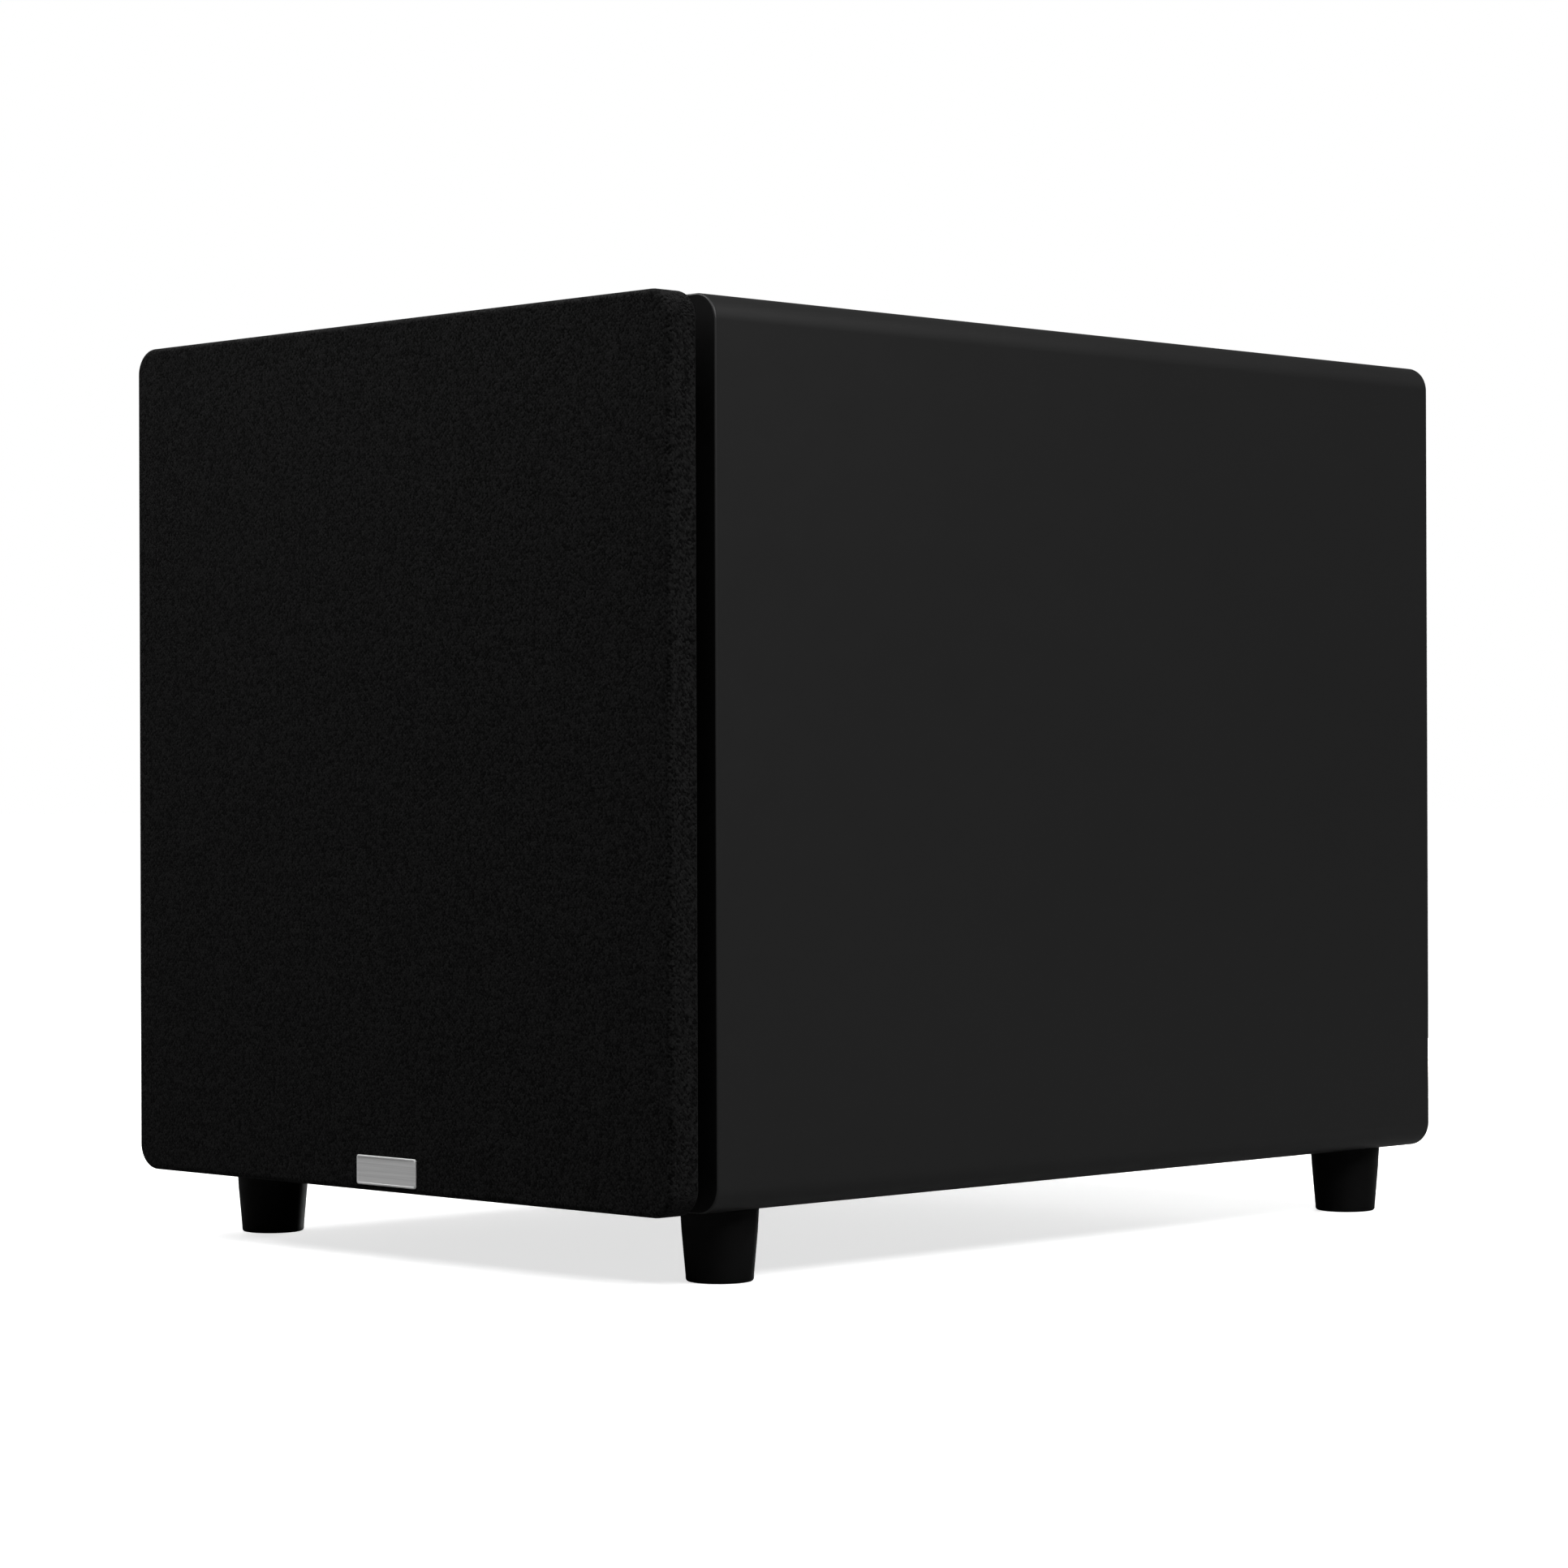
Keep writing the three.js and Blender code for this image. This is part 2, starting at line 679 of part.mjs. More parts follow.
function addJacks() {
  const [x, z] = AT.jacks;
  const body = box([x - 40, PLATE_BACK - 12, z - 8], [x + 40, PLATE_FACE - 1, z + 8]);
  const face = box([x - 43, PLATE_FACE + THIN_GAP, z - 11], [x + 43, PLATE_FACE + 1.6, z + 11]);
  const bridge = box([x - 40, PLATE_FACE - 1.5, z - 8], [x + 40, PLATE_FACE + 1, z + 8]);
  const barrels = JACK_OFFSETS.map((dx) =>
    rodAlongY(4.2, PLATE_FACE, PLATE_FACE + 8.2, x + dx, z, TINY_ROUND),
  );
  const contacts = JACK_OFFSETS.map((dx) =>
    rodAlongY(2.2, PLATE_FACE + 2.5, PLATE_FACE + 9, x + dx, z, TINY_ROUND),
  );
  add("line_jacks", cut(join(body, bridge, face, ...barrels), ...contacts), materials.plastic);
}

// Spring-clip terminals. Each lever turns on a pin near the top of its pocket.
const LEVER = { pinY: 5, pinZ: 8, width: 14.5 }; // from the cabinet's back plane and the block's middle

function addSpeakerTerminals() {
  const [x, z] = AT.terminals;
  const flange = box([x - 42, PLATE_FACE + THIN_GAP, z - 17], [x + 42, REAR + 8, z + 17]);
  const body = box([x - 39, REAR - 8, z - 14], [x + 39, PLATE_FACE + 1, z + 14]);
  const pockets = LEVER_OFFSETS.map((dx) =>
    box([x + dx - 7.7, REAR - 3, z - 12.3], [x + dx + 7.7, REAR + 9, z + 10.9]),
  );
  add("terminal_block", cut(join(flange, body), ...pockets), materials.plastic);

  const outline = [[3, 10], [8.6, 10], [12.8, -6], [12.8, -9], [10.4, -9], [3.5, 4]];
  LEVER_OFFSETS.forEach((dx, i) => {
    const points = outline.map(([y, dz]) => [REAR + y, z + dz]);
    add(`terminal_lever_${i + 1}`, crossPiece(points, LEVER.width, x + dx), materials.lever);
  });
}

function addMainsInlet() {
  const [x, z] = AT.inlet;
  const socketZ = z + 6;
  const drawerZ = z - 16;
  const flange = box([x - 15, PLATE_FACE + THIN_GAP, z - 25], [x + 15, PLATE_FACE + 2.5, z + 25]);
  const body = box([x - 13, PLATE_BACK - 22, z - 23], [x + 13, PLATE_FACE + 1, z + 23]);
  // The recess has the clipped corners of a standard mains inlet.
  const recess = new THREE.Shape(
    [[-12, -8], [12, -8], [12, 4], [8, 8], [-8, 8], [-12, 4]].map(
      ([dx, dz]) => new THREE.Vector2(x + dx, socketZ + dz),
    ),
  );
  const drawerHole = box([x - 11.5, PLATE_BACK - 18, drawerZ - 4.2], [x + 11.5, PLATE_FACE + 4, drawerZ + 4.2]);
  add(
    "mains_inlet",
    cut(join(flange, body), slab(recess, PLATE_BACK - 14, PLATE_FACE + 4), drawerHole),
    materials.plastic,
  );

  const drawer = box([x - 11.2, PLATE_BACK - 16, drawerZ - 3.9], [x + 11.2, PLATE_FACE + 3, drawerZ + 3.9]);
  const lip = box([x - 12.5, PLATE_FACE + 2.8, drawerZ - 5], [x + 12.5, PLATE_FACE + 4, drawerZ + 5]);
  add("fuse_drawer", join(drawer, lip), materials.plastic);
}

function addPowerSwitch() {
  const [x, z] = AT.power;
  const flange = box([x - 11.5, PLATE_FACE + THIN_GAP, z - 16], [x + 11.5, PLATE_FACE + 2, z + 16]);
  const body = box([x - 9.6, REAR - 15, z - 14.2], [x + 9.6, PLATE_FACE + 1, z + 14.2]);
  const well = box([x - 7.8, REAR - 9, z - 12.5], [x + 7.8, PLATE_FACE + 4, z + 12.5]);
  add("switch_bezel", cut(join(flange, body), well), materials.plastic);

  // Drawn level about its pin, then tipped to the side it rests on.
  const pinY = 1;
  const restTilt = THREE.MathUtils.degToRad(10);
  const outline = [[-6, -6], [3, -11], [6, -11], [4.2, 0], [6, 11], [3, 11], [-6, 6]];
  const rocker = add("power_rocker", crossPiece(outline, 15, 0), materials.plastic);
  rocker.position.set(x, REAR + pinY, z);
  rocker.rotation.x = restTilt;
}

function addAmplifierInside() {
  const board = { front: PLATE_BACK - 19, thickness: 1.6, halfWidth: 100, bottom: 204, top: 330 };
  const postInset = 8;
  const posts = [-1, 1].flatMap((side) =>
    [board.bottom + postInset, board.top - postInset].map((z) =>
      rodAlongY(3, board.front + 1, PLATE_BACK - THIN_GAP, side * (board.halfWidth - postInset), z,
        TINY_ROUND),
    ),
  );
  const sheet = box(
    [-board.halfWidth, board.front, board.bottom],
    [board.halfWidth, board.front + board.thickness, board.top],
  );
  add("amp_board", join(sheet, ...posts), materials.circuit);
  for (const [side, x] of [["left", -34], ["right", 34]]) {
    add(
      `reservoir_capacitor_${side}`,
      rodAlongY(12.5, board.front - 38, board.front - THIN_GAP, x, 240, SMALL_ROUND),
      materials.sleeve,
    );
  }

  const [x, z] = AT.transformer;
  const coreFront = PLATE_BACK - 46;
  const coreBack = PLATE_BACK - GAP;
  const round = 8; // radius of the winding's round shoulders
  add(
    "transformer",
    turnedAlongY(
      [
        [14, coreFront + round / 2],
        [14 + round / 2, coreFront],
        [50 - round, coreFront],
        [48, coreFront + 3],
        [50, coreFront + round],
        [50, coreBack - round],
        [48, coreBack - 3],
        [50 - round, coreBack],
        [14 + round / 2, coreBack],
        [14, coreBack - round / 2],
      ],
      x, z, 32,
    ),
    materials.winding,
  );
  const washerBack = coreFront - THIN_GAP;
  add(
    "transformer_bolt",
    turnedAlongY(
      [
        [0, washerBack - 7],
        [5, washerBack - 7],
        [5, washerBack - 2],
        [32, washerBack - 2],
        [32, washerBack],
        [3, washerBack],
        [3, PLATE_FACE + THIN_GAP],
        [6, PLATE_FACE + THIN_GAP],
        [6, PLATE_FACE + 3],
        [5, PLATE_FACE + 3.6],
        [0, PLATE_FACE + 3.6],
      ],
      x, z, SMALL_ROUND,
    ),
    materials.steel,
  );
}

// The lead from the amplifier board to the woofer, through a lower window of the brace.
function addDriverLead() {
  const route = new THREE.CatmullRomCurve3([
    new THREE.Vector3(-70, PLATE_BACK - 21, 222),
    new THREE.Vector3(-72, 214, 216),
    new THREE.Vector3(-104, 180, 190),
    new THREE.Vector3(-124, 110, 150),
    new THREE.Vector3(-126, 40, 128),
    new THREE.Vector3(-118, -17, 122),
    new THREE.Vector3(-116, -70, 160),
    new THREE.Vector3(-100, -105, 250),
    new THREE.Vector3(-50, -118, 325),
    new THREE.Vector3(-14, -130, 336),
    new THREE.Vector3(-8, -151, AXIS_Z + 99),
  ]);
  const section = new THREE.Shape();
  section.absarc(0, 0, 2.5, 0, 2 * Math.PI);
  const lead = new THREE.ExtrudeGeometry(section, {
    steps: 44,
    extrudePath: route,
    curveSegments: 4,
    bevelEnabled: false,
  });
  add("driver_lead", lead, materials.rubber);
}

addCabinet();
addPort();
addFeet();
addWooferFrame();
addMotor();
addMovingAssembly();
addGrille();
addPlate();
addControls();
addJacks();
addSpeakerTerminals();
addMainsInlet();
addPowerSwitch();
addAmplifierInside();
addDriverLead();

export default subwoofer;
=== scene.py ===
"""A powered subwoofer: a charcoal cabinet on four feet, with a black cloth grille over the woofer.

A port opens in the floor panel, and the amplifier with its controls and sockets fills the back. Shapes
are worked out in millimetres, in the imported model's frame (+Z up, the grille faces -Y), and make() turns
each into metres. Sizes and places come from the boxes of the CAD nodes that the pieces stand for.
"""

from math import asin, atan2, cos, degrees, pi, radians, sin

import bmesh
import bpy
import numpy as np
from mathutils import Matrix, Vector
from mathutils import noise as smooth_noise


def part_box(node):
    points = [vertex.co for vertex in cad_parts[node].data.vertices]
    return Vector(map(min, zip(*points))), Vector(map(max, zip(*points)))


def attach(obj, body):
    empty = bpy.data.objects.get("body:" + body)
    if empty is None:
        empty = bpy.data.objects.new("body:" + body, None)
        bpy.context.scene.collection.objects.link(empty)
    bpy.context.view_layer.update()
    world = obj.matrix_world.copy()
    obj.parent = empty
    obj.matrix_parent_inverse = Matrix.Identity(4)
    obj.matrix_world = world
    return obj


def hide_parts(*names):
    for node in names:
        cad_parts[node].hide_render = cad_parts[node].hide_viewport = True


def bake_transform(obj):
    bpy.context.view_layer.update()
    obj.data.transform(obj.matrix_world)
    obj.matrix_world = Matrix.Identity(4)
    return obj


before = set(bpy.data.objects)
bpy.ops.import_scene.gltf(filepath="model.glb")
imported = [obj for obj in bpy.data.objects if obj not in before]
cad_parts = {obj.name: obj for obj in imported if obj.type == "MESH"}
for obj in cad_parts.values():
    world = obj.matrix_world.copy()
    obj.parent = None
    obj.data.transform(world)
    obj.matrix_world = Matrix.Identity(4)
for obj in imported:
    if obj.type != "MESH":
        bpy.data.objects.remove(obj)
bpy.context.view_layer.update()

MM = 0.001


def box(node):
    """A CAD node's lowest and highest corner, in millimetres."""
    low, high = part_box(node)
    return low / MM, high / MM


def middle(node):
    low, high = box(node)
    return (low + high) / 2


def across(node):
    """Where a node's middle is when looked at along Y, as (x, z)."""
    at = middle(node)
    return at.x, at.z


def extent(node):
    """A node's width and height when looked at along Y."""
    low, high = box(node)
    return high.x - low.x, high.z - low.z


SHELL_LOW, SHELL_HIGH = box("cabinet_shell")
FRONT, REAR = SHELL_LOW.y, SHELL_HIGH.y
UNDERSIDE = SHELL_LOW.z
WIDTH = SHELL_HIGH.x - SHELL_LOW.x
HEIGHT = SHELL_HIGH.z - SHELL_LOW.z
AXIS_Z = (SHELL_LOW.z + SHELL_HIGH.z) / 2
AXIS = (0, AXIS_Z)  # the middle line of the cabinet, the grille and the woofer, as (x, z)
WALL = 18
CORNER = 12  # radius of the cabinet's and the grille's long edges
GRILLE_FRONT, GRILLE_BACK = box("grille_cloth")[0].y, box("cloth_fold")[1].y
CLOTH_THICK = 0.55
PEGS = ["top_left", "top_right", "bottom_left", "bottom_right"]
PLATE_LOW, PLATE_HIGH = box("amp_plate")
PLATE_FACE = PLATE_HIGH.y


# ---------------------------------------------------------------- shapes

PLACE = {
    "X": lambda u, v, d: (d, u, v),
    "Y": lambda u, v, d: (u, d, v),
    "Z": lambda u, v, d: (u, v, d),
}


def rounded(width, height, radius, centre=(0, 0), steps=8):
    """The points of a rounded rectangle, anticlockwise."""
    points = []
    for quarter, (side_u, side_v) in enumerate([(1, 1), (-1, 1), (-1, -1), (1, -1)]):
        u = centre[0] + side_u * (width / 2 - radius)
        v = centre[1] + side_v * (height / 2 - radius)
        for i in range(steps + 1):
            angle = radians(90 * quarter + 90 * i / steps)
            points.append((u + radius * cos(angle), v + radius * sin(angle)))
    return points


def around(centre, radius, angles):
    """A point on a circle at each of some angles, in degrees."""
    turns = np.radians(angles)
    return [(centre[0] + radius * cos(a), centre[1] + radius * sin(a)) for a in turns]


def arc(centre, radius, start, end, steps):
    return around(centre, radius, np.linspace(start, end, steps + 1))


def filleted(points, reach, steps=4):
    """A closed outline with each corner rounded off over the same reach."""
    made = []
    count = len(points)
    for i, point in enumerate(points):
        corner = Vector(point)
        before, after = Vector(points[i - 1]), Vector(points[(i + 1) % count])
        start = corner + (before - corner) * min(0.45, reach / (before - corner).length)
        end = corner + (after - corner) * min(0.45, reach / (after - corner).length)
        for t in np.linspace(0, 1, steps + 1):
            made.append(tuple(start * (1 - t) ** 2 + corner * 2 * t * (1 - t) + end * t * t))
    return made


def inset(points, distance):
    """A closed anticlockwise outline moved inwards."""
    made = []
    for i, point in enumerate(points):
        here = Vector(point)
        back = (here - Vector(points[i - 1])).normalized()
        ahead = (Vector(points[(i + 1) % len(points)]) - here).normalized()
        inwards = Vector((-back.y - ahead.y, back.x + ahead.x))
        size = max(inwards.length_squared / 2, 0.35)
        made.append(tuple(here + inwards * distance / size))
    return made


def edge_rings(low, high, edge, steps=3):
    """(depth, inset) pairs from one end of a slab to the other, round both of its edges."""
    angles = np.linspace(0, pi / 2, steps + 1)
    turn = [(edge * (1 - cos(a)), edge * (1 - sin(a))) for a in angles]
    return [(low + d, i) for d, i in turn] + [(high - d, i) for d, i in reversed(turn)]


def bridge(shape, first, second):
    """Faces between two rings of vertices."""
    for i in range(len(first)):
        shape.faces.new((first[i - 1], first[i], second[i], second[i - 1]))


def loft(rings, closed=False):
    """A skin over rings with the same number of points. closed joins the last ring to the first."""
    shape = bmesh.new()
    rows = [[shape.verts.new(p) for p in ring] for ring in rings]
    pairs = list(zip(rows, rows[1:]))
    if closed:
        pairs.append((rows[-1], rows[0]))
    else:
        shape.faces.new(rows[0])
        shape.faces.new(rows[-1])
    for first, second in pairs:
        bridge(shape, first, second)
    bmesh.ops.recalc_face_normals(shape, faces=shape.faces)
    return shape


def hoop(rings):
    """A solid with a hole along Y, from (depth, outline) rings that go once round its section."""
    return loft([[(u, d, v) for u, v in outline] for d, outline in rings], closed=True)


def slab(width, height, radius, low, high, centre=(0, 0), edge=0.6, axis="Y", steps=8):
    """A rounded rectangle made solid along an axis, with round edges."""
    rings = []
    for d, i in edge_rings(low, high, edge):
        outline = rounded(width - 2 * i, height - 2 * i, max(radius - i, 0.05), centre, steps)
        rings.append([PLACE[axis](u, v, d) for u, v in outline])
    return loft(rings)


def brick(width, height, low, high, centre, edge=0.4):
    """A box from depth low to depth high along Y, with all its edges rounded."""
    return slab(width, height, edge, low, high, centre, edge, steps=3)


def block(low, high, edge=0.4):
    """The same between two corners."""
    centre = ((low[0] + high[0]) / 2, (low[2] + high[2]) / 2)
    return brick(high[0] - low[0], high[2] - low[2], low[1], high[1], centre, edge)


def prism(points, low, high, edge=0.4, axis="Y", fillet=0.0):
    """An anticlockwise outline made solid along an axis, with round edges."""
    outline = filleted(points, fillet) if fillet else points
    return loft(
        [
            [PLACE[axis](u, v, d) for u, v in inset(outline, i)]
            for d, i in edge_rings(low, high, edge, 2)
        ]
    )


def turned(profile, centre, axis="Y", steps=96, closed=True, ripple=None):
    """A profile of (radius, height) points turned about an axis.

    ripple(angle, height) scales the radius.
    """
    shape = bmesh.new()
    rows = []
    for radius, height in profile:
        if radius < 1e-6:
            rows.append([shape.verts.new(PLACE[axis](*centre, height))])
            continue
        row = []
        for i in range(steps):
            angle = 2 * pi * i / steps
            reach = radius * (ripple(angle, height) if ripple else 1)
            u = centre[0] + reach * cos(angle)
            v = centre[1] + reach * sin(angle)
            row.append(shape.verts.new(PLACE[axis](u, v, height)))
        rows.append(row)
    pairs = list(zip(rows, rows[1:]))
    if closed and len(rows[0]) > 1 and len(rows[-1]) > 1:
        pairs.append((rows[-1], rows[0]))
    for first, second in pairs:
        for i in range(max(len(first), len(second))):
            ring = []
            for row, j in [(first, i - 1), (first, i), (second, i), (second, i - 1)]:
                corner = row[j] if len(row) > 1 else row[0]
                if corner not in ring:
                    ring.append(corner)
            if len(ring) > 2:
                shape.faces.new(ring)
    bmesh.ops.recalc_face_normals(shape, faces=shape.faces)
    return shape


def rod(radius, low, high, centre, axis="Y", edge=0.3, steps=32):
    profile = [(0, low), (radius - edge, low), (radius, low + edge)]
    profile += [(radius, high - edge), (radius - edge, high), (0, high)]
    return turned(profile, centre, axis, steps)


def joined(*shapes):
    whole = bmesh.new()
    for shape in shapes:
        mesh = bpy.data.meshes.new("part")
        shape.to_mesh(mesh)
        shape.free()
        whole.from_mesh(mesh)
        bpy.data.meshes.remove(mesh)
    return whole


def copies(shape, matrices):
    """One shape repeated at each matrix."""
    whole = bmesh.new()
    mesh = bpy.data.meshes.new("part")
    for matrix in matrices:
        shape.to_mesh(mesh)
        mesh.transform(matrix)
        whole.from_mesh(mesh)
    shape.free()
    bpy.data.meshes.remove(mesh)
    return whole


def linked(name, data):
    made = bpy.data.objects.new(name, data)
    bpy.context.scene.collection.objects.link(made)
    return made


def loose_object(shape):
    mesh = bpy.data.meshes.new("loose")
    shape.to_mesh(mesh)
    shape.free()
    return linked("loose", mesh)


def finished(target, *others):
    """The mesh that an object's modifiers make, as a shape. The objects are removed."""
    bpy.context.view_layer.update()
    mesh = bpy.data.meshes.new_from_object(
        target.evaluated_get(bpy.context.evaluated_depsgraph_get())
    )
    shape = bmesh.new()
    shape.from_mesh(mesh)
    bpy.data.meshes.remove(mesh)
    for obj in (target, *others):
        bpy.data.meshes.remove(obj.data)
    return shape


def carved(base, *cutters, edge=0.0, operation="DIFFERENCE"):
    """base less the cutters, with its sharp edges rounded."""
    target = loose_object(base)
    tool = loose_object(joined(*cutters))
    cut = target.modifiers.new("cut", "BOOLEAN")
    cut.object = tool
    cut.operation = operation
    cut.solver = "EXACT"
    if edge:
        soften = target.modifiers.new("edge", "BEVEL")
        soften.width = edge
        soften.segments = 2
        soften.limit_method = "ANGLE"
        soften.angle_limit = radians(50)
    return finished(target, tool)


def fused(first, second):
    """Two overlapping shapes as one solid."""
    return carved(first, second, operation="UNION")


def make(name, shape, finish, *replaces, body="cabinet", sharp_over=34):
    """Turns a shape into a piece that rides on a body and may stand for CAD nodes."""
    mesh = bpy.data.meshes.new(name)
    bmesh.ops.scale(shape, vec=(MM, MM, MM), verts=shape.verts)
    shape.to_mesh(mesh)
    shape.free()
    mesh.shade_smooth()
    mesh.set_sharp_from_angle(angle=radians(sharp_over))
    mesh.materials.append(finish)
    piece = linked(name, mesh)
    even = piece.modifiers.new("flat_faces_stay_flat", "WEIGHTED_NORMAL")
    even.keep_sharp = True
    if body:
        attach(piece, body)
    if replaces:
        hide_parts(*replaces)
    return piece


# ---------------------------------------------------------------- materials


class Finish:
    """A material written one node at a time. Values are set on the shader's own sockets."""

    def __init__(self, name, colour, roughness, **sockets):
        self.material = bpy.data.materials.new(name)
        self.material.use_nodes = True
        self.tree = self.material.node_tree
        self.shader = self.tree.nodes["Principled BSDF"]
        self.height = None
        sockets |= {"Base_Color": (*colour, 1), "Roughness": roughness}
        for socket, value in sockets.items():
            self.feed(self.shader, socket.replace("_", " "), value)

    def feed(self, node, socket, source):
        """Gives an input a number, or links another node's output to it."""
        if isinstance(source, bpy.types.NodeSocket):
            self.tree.links.new(source, node.inputs[socket])
        else:
            node.inputs[socket].default_value = source

    def node(self, kind, inputs=None, **settings):
        made = self.tree.nodes.new("ShaderNode" + kind)
        for name, value in settings.items():
            setattr(made, name, value)
        for socket, source in (inputs or {}).items():
            self.feed(made, socket, source)
        return made

    def place(self, stretch=(1, 1, 1), kind="Object"):
        """Where a point is on the piece, in metres, stretched along each axis."""
        at = self.node("TexCoord").outputs[kind]
        return self.node("Mapping", {"Vector": at, "Scale": stretch}).outputs["Vector"]

    def noise(self, scale, detail=2.0, at=None, distortion=0.0):
        inputs = {"Vector": at or self.place(), "Scale": scale, "Detail": detail}
        return self.node("TexNoise", {**inputs, "Distortion": distortion}).outputs["Fac"]

    def cells(self, scale, feature="F1"):
        inputs = {"Vector": self.place(), "Scale": scale}
        return self.node("TexVoronoi", inputs, feature=feature).outputs["Distance"]

    def axes(self, at=None):
        made = self.node("SeparateXYZ", {"Vector": at or self.place()})
        return made.outputs["X"], made.outputs["Y"], made.outputs["Z"]

    def calc(self, operation, a, b=0.0):
        return self.node("Math", {0: a, 1: b}, operation=operation).outputs[0]

    def spread(self, value, low, high, start=0.0, end=1.0):
        """value from start..end turned into low..high."""
        source = {"Value": value, "From Min": start, "From Max": end}
        return self.node("MapRange", {**source, "To Min": low, "To Max": high}).outputs["Result"]

    def waves(self, along, pitch):
        """A sine between 0 and 1 that repeats every pitch metres."""
        angle = self.calc("MULTIPLY", along, 2 * pi / pitch)
        return self.spread(self.calc("SINE", angle), 0, 1, -1, 1)

    def colours(self, value, first, second, start=0.3, end=0.7):
        ramp = self.node("ValToRGB", {"Fac": value})
        stops = [(first, start), (second, end)]
        for element, (colour, position) in zip(ramp.color_ramp.elements, stops):
            element.color = (*colour, 1)
            element.position = position
        self.feed(self.shader, "Base Color", ramp.outputs["Color"])
        return self

    def rough(self, value, low, high, start=0.3, end=0.7):
        self.feed(self.shader, "Roughness", self.spread(value, low, high, start, end))
        return self

    def bump(self, value, strength, depth):
        """Relief, depth metres high. A second call adds to the first."""
        inputs = {"Strength": strength, "Distance": depth, "Height": value}
        if self.height:
            inputs["Normal"] = self.height
        self.height = self.node("Bump", inputs).outputs["Normal"]
        self.feed(self.shader, "Normal", self.height)
        return self


def grey(level, blue=1.0):
    return (level, level, level * blue)


def lacquer():
    f = Finish("satin_lacquer", grey(0.0088), 0.46, Specular_IOR_Level=0.265)
    f.colours(f.noise(9, 4), grey(0.0085), grey(0.0091))
    f.rough(f.noise(60, 5), 0.455, 0.475)
    return f.bump(f.noise(420, 3), 0.12, 0.00005).bump(f.noise(2600, 2), 0.12, 0.00003).material


def board_black():
    f = Finish("black_painted_board", grey(0.002), 0.8, Specular_IOR_Level=0.1)
    f.colours(f.noise(160, 6), grey(0.0014), grey(0.0028))
    f.rough(f.noise(60, 4), 0.7, 0.85)
    return f.bump(f.noise(1500, 4), 0.35, 0.00012).material


def board_raw():
    f = Finish("raw_board", (0.3, 0.19, 0.1), 0.85)
    f.colours(f.noise(700, 8), (0.2, 0.12, 0.06), (0.4, 0.27, 0.15))
    return f.bump(f.noise(1200, 5), 0.4, 0.0002).material


def knitted_cloth():
    """Fine loops of black yarn, each its own tone, over a faint twill, laid out on the flat cut."""
    sheen = {"Sheen_Weight": 0.015, "Sheen_Roughness": 0.5}
    f = Finish("grille_knit", grey(0.005), 0.95, Specular_IOR_Level=0.045, **sheen)
    pattern = f.place(kind="UV")
    loops = f.node("TexVoronoi", {"Vector": pattern, "Scale": 980, "Randomness": 0.8})
    tone, _, _ = f.axes(loops.outputs["Color"])
    u, v, _ = f.axes(pattern)
    sway = f.calc("MULTIPLY", f.noise(500, 2), 0.002)
    twill = f.waves(f.calc("ADD", f.calc("ADD", u, v), sway), 0.0021)
    mottled = f.calc("ADD", f.calc("MULTIPLY", tone, 0.8), f.calc("MULTIPLY", twill, 0.2))
    f.colours(mottled, grey(0.0001), grey(0.0102), 0.15, 0.95)
    raised = f.spread(loops.outputs["Distance"], 1, 0, 0, 0.8)
    return f.bump(raised, 0.7, 0.00022).material


def moulded(name, colour, roughness=0.5, grain=1700, relief=0.25, gloss=0.4):
    """Plastic or rubber from a mould with a fine even grain."""
    f = Finish(name, colour, roughness, Specular_IOR_Level=gloss)
    dark, light = [tuple(c * k for c in colour) for k in (0.82, 1.2)]
    f.colours(f.noise(90, 5), dark, light)
    f.rough(f.noise(140, 4), roughness - 0.06, roughness + 0.07)
    return f.bump(f.cells(grain), relief, 0.00006).material


def metal(name, colour, roughness, lines=(1, 1, 1), relief=0.1, bare=1.0):
    """Metal with fine lines, which run along the axis that lines stretches least."""
    f = Finish(name, colour, roughness, Metallic=bare)
    streaks = f.noise(260, 5, f.place(lines))
    dark, light = [tuple(c * k for c in colour) for k in (0.86, 1.1)]
    f.colours(streaks, dark, light)
    f.rough(streaks, roughness - 0.07, roughness + 0.09)
    return f.bump(streaks, relief, 0.00003).material


def powder_coat(name, level, roughness=0.55):
    f = Finish(name, grey(level), roughness, Specular_IOR_Level=0.45)
    f.colours(f.noise(1500, 3), grey(level * 0.75), grey(level * 1.35))
    f.rough(f.noise(200, 4), roughness - 0.05, roughness + 0.08)
    return f.bump(f.noise(1900, 2), 0.45, 0.00012).material


def pulp():
    """Pressed and coated fibre, a little rough, with long fibres showing."""
    f = Finish("coated_pulp", grey(0.012), 0.6, Specular_IOR_Level=0.35)
    fibres = f.noise(240, 8, distortion=2.5)
    f.colours(fibres, grey(0.007), grey(0.019), 0.35, 0.68)
    f.rough(fibres, 0.5, 0.72)
    return f.bump(fibres, 0.3, 0.00015).material


def spider_weave():
    f = Finish("spider_weave", (0.5, 0.31, 0.08), 0.8)
    x, _, z = f.axes()
    threads = f.calc("MULTIPLY", f.waves(x, 0.0012), f.waves(z, 0.0012))
    f.colours(threads, (0.3, 0.17, 0.04), (0.58, 0.38, 0.12), 0.05, 0.7)
    return f.bump(threads, 0.6, 0.0002).material


